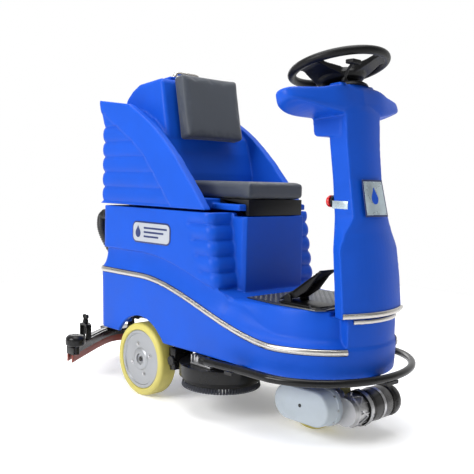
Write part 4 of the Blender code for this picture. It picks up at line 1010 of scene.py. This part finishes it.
def cushion(name, size, place, node):
    """A vinyl cushion: a rounded block blown up by cloth simulation, then brought to the CAD solid's size."""
    start_gap = 0.003
    half = [s / 2 - start_gap for s in size]
    obj = as_object(name, bevelled(box([-h for h in half], half), 0.010, 3), shift=False)
    modified(obj, "REMESH", mode="VOXEL", voxel_size=CUSHION_VOXEL)
    simulate(obj, cap=0.005)
    modified(obj, "SMOOTH", factor=0.5, iterations=3)
    modified(obj, "SUBSURF", levels=1, render_levels=1)
    points = points_of(obj)
    low, high = points.min(axis=0), points.max(axis=0)
    set_points(obj, (points - (high + low) / 2) * np.array(size) / (high - low))
    obj.data.transform(place)
    piece(name, to_frame(obj), "cushion", "tank", [node], angle=180)


def cushions():
    seat = Matrix.Translation((SEAT_FRONT_X - SEAT_SIZE[0] / 2, 0, SEAT_BOTTOM_Z + 0.031))
    cushion("seat_squab", SEAT_SIZE, seat, "seat_cushion")
    back = Matrix.Translation((BACK_CENTRE[0], 0, BACK_CENTRE[1])) @ Matrix.Rotation(-BACK_TILT, 4, "Y")
    cushion("back_squab", BACK_SIZE, back, "backrest")
    base = [(0.306, 0.7525), (0.4405, 0.7525), (0.4405, 0.7125), (0.452, 0.7125), (0.452, 0.7690),
            (0.306, 0.7690)]
    piece("seat_pan", bevelled(slab(base, -0.138, 0.138), 0.002, 2), "black", "tank", ["seat_base"])


# Running gear


def rear_wheel(name, side):
    outer = BODY_HALF_WIDTH
    inner = outer - REAR_WHEEL_WIDTH
    body = f"rear_{name}"
    centre = (0, 0, REAR_WHEEL_RADIUS)
    radius = REAR_WHEEL_RADIUS
    tyre = [(inner, 0.100), (inner, 0.128), (inner + 0.002, 0.134), (inner + 0.006, 0.1385),
            (inner + 0.011, radius),
            (outer - 0.013, radius), (outer - 0.007, 0.1385), (outer - 0.002, 0.134), (outer, 0.128),
            (outer, 0.1165), (outer - 0.003, 0.1135), (outer - 0.009, 0.1125), (outer - 0.009, 0.100)]
    piece(f"tyre_{name}", turned([(side * a, r) for a, r in tyre], centre, steps=96, closed=True), "tyre", body,
          [f"rear_tyre_{name}"], angle=50)
    hub = [(inner + 0.004, 0.0105), (inner + 0.004, 0.034), (inner + 0.030, 0.036), (inner + 0.030, 0.090),
           (inner + 0.004, 0.093), (inner + 0.004, 0.1124), (outer - 0.0065, 0.1124), (outer - 0.004, 0.1105),
           (outer - 0.004, 0.1000), (outer - 0.008, 0.0970), (outer - 0.0095, 0.070), (outer - 0.0085, 0.044),
           (outer - 0.004, 0.040), (outer - 0.003, 0.038), (outer - 0.003, 0.022), (outer - 0.010, 0.020),
           (outer - 0.012, 0.0105)]
    rim = turned([(side * a, r) for a, r in hub], centre, steps=96, closed=True)
    piece(f"hub_{name}", rim, "hub", body, [f"rear_hub_{name}"], angle=30)
    bolts = []
    for k in range(4):
        turn = math.radians(20 + 90 * k)
        x, z = 0.058 * math.cos(turn), radius + 0.058 * math.sin(turn)
        y = outer - 0.0095
        bolts.append(turned([(side * (y - 0.001), 0.0095), (side * (y + 0.0008), 0.0095),
                             (side * (y + 0.0012), 0.0080)], (x, 0, z), steps=24))
        bolts.append(turned([(side * (y + 0.0010), 0.0062), (side * (y + 0.0050), 0.0062),
                             (side * (y + 0.0058), 0.0050)], (x, 0, z), steps=6))
    piece(f"bolts_{name}", merged(*bolts), "steel", body, angle=25)
    cap = turned([(side * (outer - 0.0095), 0.0095), (side * (outer - 0.0060), 0.0095),
                  (side * (outer - 0.0050), 0.007)],
                 centre, steps=24)
    piece(f"axle_end_{name}", cap, "dark", "chassis")


def bumper():
    half = 0.322
    turn_x = 0.705
    path = [(0.455, -half - 0.012), (0.50, -half - 0.010), (0.55, -half - 0.006), (0.61, -half)]
    path += [(turn_x + (BUMPER_FRONT_X - turn_x) * math.cos(a), half * math.sin(a))
             for a in [math.radians(-84 + 168 * i / 40) for i in range(41)]]
    path += [(x, -y) for x, y in path[3::-1]]
    tube = swept(smooth_route([(x, y, BUMPER_Z) for x, y in path], 2), BUMPER_TUBE, 20)
    piece("guard_rail", tube, "steel_black", "chassis", ["bumper"])
    rings = []
    for side in (-1, 1):
        y = side * (half + 0.012)
        rings.append(turned([(-0.008, 0.0135), (0.012, 0.0135), (0.014, 0.0120)], (0.455, y, BUMPER_Z), "X",
                            28))
    piece("rail_caps", merged(*rings), "black", "chassis")


def stadium(x0, x1, z, radius, steps=16):
    return arc((x0, z), radius, 90, 270, steps) + arc((x1, z), radius, -90, 90, steps)


def round_motor(count, part, start=0.0, y=0.0):
    """Copies of a small part, part(k), set round the motor's axis."""
    centre = Matrix.Translation((MOTOR_X, y, MOTOR_Z))
    return merged(*[
        moved(part(k), centre @ Matrix.Rotation(math.radians(start + 360 * k / count), 4, "Y"))
        for k in range(count)
    ])


def drive_unit():
    levels = ((-0.0804, 0.0640), (-0.0950, 0.0640), (-0.0975, 0.0632), (-0.0985, 0.0608), (-0.1000, 0.0598),
              (-0.1400, 0.0585), (-0.1460, 0.0570), (-0.1490, 0.0540), (-0.1500, 0.0510))
    cover = loft([[(x, y, z) for x, z in stadium(0.668, 0.782, 0.114, radius)] for y, radius in levels])
    piece("gear_case_cover", cover, "cover", "drive", ["gear_cover"])
    dot = turned([(-0.1495, 0.0065), (-0.1510, 0.0060), (-0.1512, 0.0040)], (0.725, 0, 0.114), steps=20)
    piece("cover_plug", dot, "dark", "drive")
    screws = []
    for x, z in stadium(0.668, 0.782, 0.114, 0.0600, 4):
        screws.append(turned([(-0.0970, 0.0042), (-0.1010, 0.0042), (-0.1018, 0.0030)], (x, 0, z), steps=6))
    piece("cover_screws", merged(*screws), "steel", "drive", angle=25)
    case = bevelled(slab(stadium(0.668, 0.782, 0.114, 0.066), -0.0795, -0.0530), 0.0015, 2)
    neck = bevelled(box((0.615, -0.078, 0.150), (0.727, -0.054, TURNTABLE_Z - 0.0004)), 0.003, 2)
    bell = turned([(-0.0790, 0.046), (-0.0600, 0.046), (-0.0560, 0.050), (-0.0150, 0.050)],
                  (MOTOR_X, 0, MOTOR_Z), steps=48)
    ribs = round_motor(10, lambda k: box((0.044, -0.0560, -0.002), (0.0535, -0.0160, 0.002)))
    piece("gear_case", merged(case, neck, bell, ribs), "aluminium", "drive", ["gearbox"])

    def strut(k):
        lean = math.radians(35 if k % 2 else -35)
        return moved(box((0.0505, -0.0185, -0.0022), (0.0530, 0.0185, 0.0022)), Matrix.Rotation(lean, 4, "X"))

    piece("casting_lattice", round_motor(15, strut, y=-0.036), "steel", "drive", angle=30)
    gasket = turned([(-0.0150, 0.0565), (-0.0110, 0.0565)], (MOTOR_X, 0, MOTOR_Z), steps=48)
    piece("motor_gasket", gasket, "black", "drive")
    flange = turned([(-0.0108, 0.0570), (-0.0090, 0.0590), (0.0040, 0.0590), (0.0060, 0.0570)],
                    (MOTOR_X, 0, MOTOR_Z), steps=48)
    piece("motor_ring", flange, "aluminium", "drive", ["motor_flange"])
    # The black slots on the ring are painted shade: they stand for the dark inside of its vent openings.
    slots = round_motor(6, lambda k: box((0.0400, 0.0045, -0.010), (0.0600, 0.0066, 0.010)), start=15)
    piece("motor_vents", slots, "black", "drive")
    motor = [(0.0064, 0.0520), (0.0080, 0.0538), (0.0200, 0.0540), (0.0210, 0.0530), (0.0225, 0.0530),
             (0.0235, 0.0540), (0.1130, 0.0540), (0.1150, 0.0530), (0.1160, 0.0500), (0.1240, 0.0500),
             (0.1250, 0.0530), (0.1265, 0.0540), (0.1560, 0.0540), (0.1620, 0.0520), (0.1665, 0.0480),
             (0.1680, 0.0420)]
    piece("motor_can", turned(motor, (MOTOR_X, 0, MOTOR_Z), steps=64), "dark", "drive", ["drive_motor"])
    windows = round_motor(8,
                          lambda k: bevelled(box((0.0510, 0.1330, -0.009), (0.0546, 0.1460, 0.009)), 0.0008, 2))
    piece("motor_windows", windows, "black", "drive")
    band = turned([(0.0640, 0.0543), (0.0640, 0.0552), (0.0760, 0.0552), (0.0760, 0.0543)],
                  (MOTOR_X, 0, MOTOR_Z),
                  steps=64, closed=True)
    piece("motor_band", band, "steel", "drive")
    half = DRIVE_WHEEL_HALF_WIDTH
    tyre = [(-half, 0.0880), (-half, 0.108), (-half + 0.003, 0.1145), (-half + 0.009, 0.117),
            (half - 0.009, 0.117), (half - 0.003, 0.1145), (half, 0.108), (half, 0.0880)]
    piece("drive_tread", turned(tyre, (DRIVE_X, 0, DRIVE_WHEEL_RADIUS), steps=96, closed=True), "tyre",
          "drive_wheel", ["drive_tyre"])


# Brush deck


def deck_outline(radius):
    """Two half circles, one over each brush."""
    return arc((BRUSH_X, BRUSH_Y), radius, 0, 180, 40) + arc((BRUSH_X, -BRUSH_Y), radius, 180, 360, 40)


def brush_tufts(y):
    """Short flared bundles of bristle in three rings."""
    tufts = bmesh.new()
    for ring in range(3):
        count = 84 - 12 * ring
        radius = 0.138 - 0.010 * ring
        flare = 0.0020 if ring == 0 else 0.0
        for k in range(count):
            turn = 2 * math.pi * k / count + 0.3 * ring
            out = Vector((math.cos(turn), math.sin(turn), 0))
            along = Vector((-out.y, out.x, 0)) * 0.0042
            centre = Vector((BRUSH_X, y, 0))
            top = centre + (radius - 0.001) * out + Vector((0, 0, 0.1185))
            foot = centre + (radius + flare) * out + Vector((0, 0, 0.1005))
            wide, thick = 1.15 * along, 0.0030 * out
            low = [tufts.verts.new(foot + v) for v in (wide, thick, -wide, -thick)]
            high = [tufts.verts.new(top + 0.7 * v) for v in (along, thick, -along, -thick)]
            for i in range(4):
                tufts.faces.new((low[i], low[(i + 1) % 4], high[(i + 1) % 4], high[i]))
            tufts.faces.new(low)
            tufts.faces.new(high)
    return tufts


def brush_deck():
    lobe = BRUSH_RADIUS + 0.010
    plate = as_object("deck_plate", slab(deck_outline(lobe), 0.138, 0.182, "Z"), shift=False)
    cut(plate, slab(deck_outline(lobe - 0.004), 0.10, 0.174, "Z"))
    for side in (-1, 1):
        cut(plate, turned([(0.16, 0.016), (0.20, 0.016)], (BRUSH_X, side * BRUSH_Y, 0), "Z", 24))
    modified(plate, "BEVEL", width=0.003, segments=3, limit_method="ANGLE", angle_limit=math.radians(50))
    piece("deck_plate", to_frame(plate), "steel_black", "deck", ["brush_deck"])
    link = [(0.152, 0.150), (0.160, 0.128), (0.186, 0.132), (0.189, 0.210), (0.189, 0.2110), (0.152, 0.2110)]
    post = bevelled(slab(link, -0.236, -0.150), 0.003, 2)
    far_post = bevelled(slab(link, 0.150, 0.236), 0.003, 2)
    cross = swept([(0.170, -0.232, 0.165), (0.170, 0.232, 0.165)], 0.011, 20)
    boss = turned([(-0.2440, 0.017), (-0.2400, 0.019), (-0.2365, 0.017)], (0.170, 0, 0.165), steps=28)
    piece("lift_linkage", merged(post, far_post, cross, boss), "steel_black", "chassis")
    lugs = []
    for k in range(7):
        x = BRUSH_X - 0.042 + k * 0.0165
        lugs.append(bevelled(box((x, -0.258, 0.1900),
                                 (x + 0.006, -0.218, 0.2060 + 0.014 * math.sin(1 + 0.5 * k))),
                             0.0012, 2))
    block = bevelled(box((BRUSH_X - 0.030, -0.256, 0.1825), (BRUSH_X + 0.045, -0.234, 0.2130)), 0.003, 3)
    foot = bevelled(box((BRUSH_X - 0.045, -0.258, 0.1825), (BRUSH_X + 0.060, -0.216, 0.1905)), 0.002, 2)
    piece("lift_bracket", merged(block, foot, *lugs), "aluminium", "deck", ["deck_bracket"],
          angle=30)
    for name, side in (("right", -1), ("left", 1)):
        y = side * BRUSH_Y
        disc = [(0.118, 0.010), (0.118, 0.134), (0.124, 0.140), (0.134, 0.140), (0.138, 0.136), (0.140, 0.060),
                (0.168, 0.056), (0.1735, 0.0150), (0.1820, 0.0150)]
        top = turned(disc, (BRUSH_X, y, 0), "Z", 64)
        piece(f"brush_block_{name}", top, "black", f"brush_{name}", [f"brush_{name}"])
        piece(f"brush_tufts_{name}", brush_tufts(y), "bristle", f"brush_{name}", angle=60)


# Squeegee


def squeegee_x(y):
    return SQUEEGEE_APEX_X - 0.05 + math.hypot(0.05, SQUEEGEE_SWEEP * y)


def roller_place(side):
    return squeegee_x(ROLLER_Y) + 0.004, side * ROLLER_Y


def knob_place(side):
    return squeegee_x(KNOB_Y) - 0.0175, side * KNOB_Y


def squeegee_strip(low_z, high_z, front, rear, steps=72, reach=SQUEEGEE_HALF_WIDTH):
    rings = []
    for i in range(steps + 1):
        y = reach * (2 * i / steps - 1)
        x = squeegee_x(y)
        rings.append([(x + rear, y, low_z), (x + front, y, low_z), (x + front, y, high_z),
                      (x + rear, y, high_z)])
    return loft(rings)


def squeegee():
    px, pz = ARM_PIVOT
    hx, hz = HEAD_PIVOT
    links = [turned([(-0.134, 0.0080), (0.134, 0.0080)], (px, 0, pz), steps=28),
             turned([(-0.092, 0.0080), (0.092, 0.0080)], (hx, 0, hz), steps=28)]
    for side in (-1, 1):
        y = side * 0.085
        link = [(px + 0.014, pz - 0.014), (px + 0.014, pz + 0.014), (hx - 0.012, hz + 0.012),
                (hx - 0.012, hz - 0.012)]
        links.append(bevelled(slab(link, y - 0.005, y + 0.005), 0.0015, 2))
    piece("lift_arm", merged(*links), "steel_black", "arm", ["squeegee_arm"])
    parts = [bevelled(squeegee_strip(0.1118, 0.1455, 0.010, -0.045), 0.003, 3, 50)]
    parts.append(bevelled(squeegee_strip(0.1450, 0.1500, -0.004, -0.031, reach=0.33), 0.0015, 2, 50))
    parts.append(bevelled(box((hx - 0.085, -0.060, 0.140), (hx + 0.035, 0.060, 0.152)), 0.003, 2))
    for side in (-1, 1):
        ear = [(hx - 0.025, 0.145), (hx + 0.025, 0.145), (hx + 0.015, hz + 0.015), (hx - 0.015, hz + 0.015)]
        parts.append(bevelled(slab(ear, side * 0.055 - 0.005, side * 0.055 + 0.005), 0.0015, 2))
        x, y = roller_place(side)
        parts.append(turned([(0.1125, 0.018), (0.1475, 0.018), (0.148, 0.0160)], (x, y, 0), "Z", 32))
        x, y = knob_place(side)
        for end in (-1, 1):
            foot = x + end * 0.024
            parts.append(bevelled(box((foot - 0.004, y - 0.012, 0.144), (foot + 0.004, y + 0.012, 0.208)),
                                  0.0015, 2))
        arch = [(x - 0.028, 0.196), (x - 0.022, 0.208), (x - 0.010, 0.2130), (x + 0.010, 0.2130),
                (x + 0.022, 0.208),
                (x + 0.028, 0.196), (x + 0.020, 0.196), (x + 0.014, 0.203), (x - 0.014, 0.203),
                (x - 0.020, 0.196)]
        parts.append(slab(arch, y - 0.012, y + 0.012))
    spigot = turned([(0.145, 0.026), (0.196, 0.026), (0.196, 0.021), (0.150, 0.021), (0.145, 0.021)],
                    (hx - 0.050, 0, 0), "Z", 40, closed=True)
    parts.append(spigot)
    piece("squeegee_head", merged(*parts), "steel_black", "squeegee", ["squeegee_body"])
    blades = [bevelled(squeegee_strip(BLADE_BOTTOM_Z, 0.1122, 0.004, -0.004), 0.0010, 2, 50),
              bevelled(squeegee_strip(BLADE_BOTTOM_Z, 0.1122, -0.031, -0.039), 0.0010, 2, 50)]
    piece("squeegee_rubbers", merged(*blades), "blade", "squeegee", ["squeegee_blade"])
    for name, side in (("right", -1), ("left", 1)):
        x, y = roller_place(side)
        wheel = [(0.1485, 0.010), (0.1485, 0.032), (0.1500, 0.036), (0.1540, 0.0392), (0.1590, 0.0400),
                 (0.1720, 0.0400), (0.1790, 0.0390), (0.1860, 0.0345), (0.1910, 0.0280), (0.1930, 0.0200),
                 (0.1930, 0.0130), (0.1950, 0.0110), (0.1950, 0.0060)]
        piece(f"bumper_roller_{name}", turned(wheel, (x, y, 0), "Z", 56), "steel_black", f"roller_{name}",
              [f"roller_{name}"])
        x, y = knob_place(side)
        stem = turned([(0.165, 0.0064), (0.2140, 0.0064), (0.2145, 0.012), (0.220, 0.0125), (0.226, 0.010),
                       (0.233, 0.0095)], (x, y, 0), "Z", 32)
        wings = []
        for end in (-1, 1):
            wings.append(turned([(-0.006, 0.006), (-0.0045, 0.0088), (0.0045, 0.0088), (0.006, 0.006)],
                                (x + end * 0.0090, y, 0.2400), "Y", 28))
        piece(f"wing_knob_{name}", merged(stem, *wings), "black", f"knob_{name}", [f"knob_{name}"])


def suction_route():
    return [(-0.3135, -0.205, 0.6800), (-0.335, -0.205, 0.679), (-0.357, -0.203, 0.662),
            (-0.368, -0.196, 0.620),
            (-0.366, -0.175, 0.570), (-0.356, -0.140, 0.510), (-0.352, -0.095, 0.445), (-0.368, -0.055, 0.380),
            (-0.420, -0.025, 0.310), (-0.490, -0.008, 0.262), (-0.540, -0.001, 0.232), (-0.550, 0.000, 0.208),
            (-0.550, 0.000, 0.1975)]


def hose():
    """Ribbed hose on a fixed curved route from the body down to the squeegee head, with a cuff at each end."""
    route = smooth_route(suction_route(), 24)
    radii = [HOSE_RADIUS if i % 4 < 2 else HOSE_RADIUS - 0.0018 for i in range(len(route))]
    obj = as_object("suction_hose_skin", swept(route, radii, 20))
    obj.data.materials.append(MATERIALS["hose"])
    shaded(obj, 60)
    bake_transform(obj)
    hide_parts("suction_hose")
    socket = turned([(-0.2905, 0.0280), (-0.2960, 0.0280), (-0.2975, 0.0250), (-0.3090, 0.0245),
                     (-0.3115, 0.0225)],
                    ELBOW, "X", 40)
    cuff = turned([(-0.3090, 0.0200), (-0.3110, 0.0232), (-0.3330, 0.0228), (-0.3350, 0.0200)], ELBOW, "X", 40)
    piece("hose_socket", merged(socket, cuff), "black", "chassis", ["suction_elbow"])
    lower = turned([(0.1960, 0.0262), (0.1960, 0.0285), (0.2060, 0.0285), (0.2080, 0.0255), (0.2400, 0.0232),
                    (0.2400, 0.0205)], (SPIGOT_X, 0, 0), "Z", 40, closed=True)
    piece("hose_cuff", lower, "black", "squeegee")


def pedal_cable():
    """Thin lead from the pedal's bracket across the floor plate to the column's foot."""
    route = [(0.768, -0.168, 0.4506), (0.776, -0.176, 0.4460), (0.788, -0.181, 0.4432), (0.802, -0.178, 0.4430),
             (0.812, -0.168, 0.4430), (0.818, -0.154, 0.4432), (0.824, -0.142, 0.4470), (0.834, -0.130, 0.4540)]
    centre = smooth_route(route, 5)
    obj = piece("pedal_lead", swept(centre, CABLE_RADIUS, 12), "hose", "chassis", angle=60)


# Steering wheel and controls


def steering_wheel():
    rim = turned(arc((0.0, RIM_RADIUS), RIM_TUBE, 0, 352, 22), (0, 0, 0), "Z", 112, closed=True)
    piece("wheel_rim", moved(rim, wheel_frame()), "black", "wheel", ["steering_rim"])
    hub = as_object("wheel_hub", turned([(-0.058, 0.052), (-0.052, 0.074), (-0.040, 0.082), (-0.028, 0.074),
                                         (-0.014, 0.046), (-0.010, 0.028)], (0, 0, 0), "Z", 48), shift=False)
    for angle in SPOKE_ANGLES:
        outer = RIM_RADIUS - 0.006
        sections = ((0.020, 0.052, -0.054, -0.024), (0.060, 0.056, -0.044, -0.018),
                    (0.100, 0.046, -0.026, -0.008),
                    (0.125, 0.040, -0.013, 0.002), (outer, 0.046, -0.007, 0.006))
        spoke = loft([[(r, -w, low), (r, w, low), (r, w, high), (r, -w, high)] for r, w, low, high in sections])
        join(hub, moved(spoke, Matrix.Rotation(math.radians(angle), 4, "Z")))
    soften(hub, HUB_VOXEL, 5)
    hub.data.transform(wheel_frame())
    piece("wheel_hub", to_frame(hub), "black", "wheel", ["steering_hub"], angle=180)


def controls():
    y, z = STOP_CENTRE
    ring = turned([(0.7710, 0.0106), (0.7710, 0.0140), (0.7600, 0.0150), (0.7595, 0.0200), (0.7510, 0.0205),
                   (0.7500, 0.0190), (0.7500, 0.0106)], (0, y, z), "X", 40, closed=True)
    piece("stop_collar", ring, "black", "chassis", ["stop_housing"])
    button = turned([(0.7700, 0.0094), (0.7440, 0.0094), (0.7436, 0.0185), (0.7420, 0.0195), (0.7370, 0.0200),
                     (0.7330, 0.0185), (0.7305, 0.0150), (0.7292, 0.0090)], (0, y, z), "X", 40)
    piece("stop_mushroom", button, "red", "stop", ["stop_button"])
    place = Matrix.Translation((0.705, 0, 1.1200)) @ Matrix.Rotation(math.radians(-13.5), 4, "Y")
    panel = bevelled(box((-0.022, 0.080, 0.0), (0.030, 0.200, 0.008)), 0.002, 3)
    piece("switch_panel", moved(panel, place), "black", "chassis", ["control_panel"])
    keys = [bevelled(box((-0.010, near, 0.0075), (0.008, near + 0.014, 0.0115)), 0.0018, 3)
            for near in (0.122, 0.144, 0.166)]
    piece("rocker_switches", moved(merged(*keys), place), "grey", "chassis")
    gauge = turned([(0.0078, 0.0065), (0.0100, 0.0065), (0.0104, 0.0055)], (0.020, 0.150, 0), "Z", 28)
    piece("charge_light", moved(gauge, place), "red", "chassis")
    barrel = turned([(0.0085, 0.009), (0.0130, 0.009), (0.0145, 0.0075), (0.0148, 0.004)], (0.004, 0.100, 0),
                    "Z", 28)
    bow = bevelled(box((-0.006, 0.0985, 0.014), (0.014, 0.1015, 0.034)), 0.0012, 2)
    piece("ignition_key", moved(merged(barrel, bow), place), "steel", "key", ["key_switch"])
    x, y, z = LEVER_PIVOT
    boot = turned([(z - 0.0035, 0.010), (z - 0.001, 0.0098), (z + 0.004, 0.0072), (z + 0.006, 0.0055)],
                  (x, y, 0), "Z", 28)
    stalk = swept(smooth_route([(x, y, z + 0.002), (x + 0.014, y - 0.002, z + 0.030),
                                (x + 0.034, y - 0.005, z + 0.047)]),
                  0.0045)
    grip = bevelled(box((x + 0.020, y - 0.026, z + 0.044), (x + 0.052, y + 0.016, z + 0.058)), 0.004, 4)
    piece("direction_lever", merged(boot, stalk, grip), "black", "lever", ["drive_lever"])


def pedal():
    base = bevelled(box((0.640, -0.172, FLOOR_Z + 0.0065), (0.800, -0.072, FLOOR_Z + 0.0115)), 0.0015, 2)
    ears = []
    for y in (-0.163, -0.081):
        ear = [(0.650, 0.444), (0.690, 0.444), (0.684, 0.468), (0.672, 0.474), (0.662, 0.468)]
        ears.append(bevelled(slab(ear, y - 0.004, y + 0.004), 0.001, 2))
    piece("pedal_bracket", merged(base, *ears), "black", "chassis", ["pedal_base"])
    plate = [(0.628, 0.4520), (0.634, 0.4490), (0.690, 0.4760), (0.802, 0.5560), (0.798, 0.5620),
             (0.686, 0.4850)]
    solid = bevelled(slab(plate, -0.158, -0.086), 0.0015, 2)
    grips = []
    for k in range(9):
        t = k / 8
        x, z = 0.694 + 0.096 * t, 0.4898 + 0.0675 * t
        grip = bevelled(box((-0.0022, -0.152, -0.0005), (0.0022, -0.092, 0.0022)), 0.0008, 2)
        grips.append(moved(grip, Matrix.Translation((x, 0, z)) @ Matrix.Rotation(math.radians(-35), 4, "Y")))
    web = slab([(0.664, 0.458), (0.680, 0.458), (0.690, 0.482), (0.664, 0.474)], -0.150, -0.094)
    arms = []
    for y in (-0.154, -0.096):
        arm = [(0.668, 0.456), (0.700, 0.462), (0.745, 0.492), (0.790, 0.548), (0.784, 0.552), (0.690, 0.484)]
        arms.append(bevelled(slab(arm, y - 0.004, y + 0.004), 0.0015, 2))
    pin = turned([(-0.168, 0.004), (-0.076, 0.004)], (PEDAL_PIN[0], 0, PEDAL_PIN[1]), steps=20)
    piece("pedal_tread", merged(solid, web, pin, *arms, *grips), "black", "pedal", ["pedal_plate"])


def floor_mat():
    outline = [(0.493, -0.174), (0.640, -0.192), (0.800, -0.180), (0.820, -0.150)]
    outline += [(x, -y) for x, y in reversed(outline)]
    low, high = FLOOR_Z + 0.0008, FLOOR_Z + 0.0048
    parts = [bevelled(slab(outline, low, high, "Z"), 0.0010, 2)]
    pitch = 0.0125
    for i in range(27):
        for j in range(-15, 16):
            x, y = 0.502 + i * pitch * 0.93, j * pitch
            if abs(y) > 0.168 or (x > 0.808):
                continue
            turn = math.radians(45 if (i + j) % 2 else -45)
            lozenge = bmesh.new()
            rim = [(0.0052, 0, 0), (0, 0.0016, 0), (-0.0052, 0, 0), (0, -0.0016, 0)]
            base = [lozenge.verts.new(p) for p in rim]
            crown = [lozenge.verts.new((p[0] * 0.6, p[1] * 0.5, 0.0009)) for p in rim]
            for k in range(4):
                lozenge.faces.new((base[k], base[(k + 1) % 4], crown[(k + 1) % 4], crown[k]))
            lozenge.faces.new(crown)
            lozenge.faces.new(base[::-1])
            moved(lozenge, Matrix.Translation((x, y, high - 0.0001)) @ Matrix.Rotation(turn, 4, "Z"))
            parts.append(lozenge)
    piece("checker_plate", merged(*parts), "mat", "chassis", ["floor_mat"], angle=30)


def badge():
    """Plain plate on the box's side, with a water drop and bars in place of words."""
    low, high = (-0.053, 0.590), (0.181, 0.672)
    radius = 0.026

    def panel(shrink):
        corner = radius - shrink
        x0, x1, z0, z1 = low[0] + radius, high[0] - radius, low[1] + radius, high[1] - radius
        return (arc((x1, z1), corner, 0, 90, 8) + arc((x0, z1), corner, 90, 180, 8)
                + arc((x0, z0), corner, 180, 270, 8) + arc((x1, z0), corner, 270, 360, 8))

    for name, side in (("right", -1), ("left", 1)):
        def on_wall(outline, near, far):
            near, far = side * (BODY_HALF_WIDTH + near), side * (BODY_HALF_WIDTH + far)
            return slab(outline, min(near, far), max(near, far))

        border = bevelled(on_wall(panel(0.0), -0.004, 0.0012), 0.0005, 2)
        piece(f"badge_border_{name}", border, "navy", "chassis")
        face = bevelled(on_wall(panel(0.006), 0.0008, 0.0018), 0.0003, 2)
        piece(f"badge_face_{name}", face, "grey", "chassis")
        marks = [on_wall(water_drop((-0.016, 0.627), 0.016, 0.017, 0.012), 0.0014, 0.0022)]
        for k, end in enumerate((0.160, 0.140, 0.110)):
            z = 0.648 - 0.016 * k
            bar = [(0.020, z - 0.0035), (end, z - 0.0035), (end, z + 0.0035), (0.020, z + 0.0035)]
            marks.append(on_wall(bar, 0.0014, 0.0022))
        piece(f"badge_marks_{name}", merged(*marks), "navy", "chassis")


def plain_nodes():
    """CAD nodes that keep their shape get finished materials."""
    for node, material in (
        ("chassis_frame", "frame"), ("rear_axle", "steel"), ("battery_rear", "black"),
        ("battery_front", "black"),
        ("vacuum_motor", "dark"), ("motor_controller", "aluminium"), ("steering_bearing", "steel"),
        ("steering_shaft", "steel"), ("steering_fork", "frame"), ("drive_hub", "aluminium"),
        ("brush_motor_right", "dark"), ("brush_motor_left", "dark"),
    ):
        for slot in NODES[node].material_slots:
            slot.material = MATERIALS[material]


def studio_floor():
    bm = bmesh.new()
    bmesh.ops.create_grid(bm, x_segments=2, y_segments=2, size=STUDIO_FLOOR_HALF)
    floor = as_object("studio_floor", bm, shift=False)
    paper = finish("studio_floor", (0.90, 0.90, 0.90), 0.7, spread=0.01, grain=300, bump=0.01)
    shader = paper.node_tree.nodes["Principled BSDF"]
    shader.inputs["Emission Color"].default_value = (1, 1, 1, 1)
    shader.inputs["Emission Strength"].default_value = 0.25
    floor.data.materials.append(paper)


set_camera()
set_lights()
make_materials()
studio_floor()
main_body()
side_trims()
steering_column()
piece("column_foot_strip", column_strip(), "chrome", "chassis", ["column_trim"])
piece("nose_strip", nose_strip(), "chrome", "chassis", ["nose_trim"])
front_plate()
recovery_tank()
tank_lid()
cushions()
for wheel_name, wheel_side in (("right", -1), ("left", 1)):
    rear_wheel(wheel_name, wheel_side)
bumper()
drive_unit()
brush_deck()
squeegee()
hose()
pedal_cable()
steering_wheel()
controls()
pedal()
floor_mat()
badge()
plain_nodes()
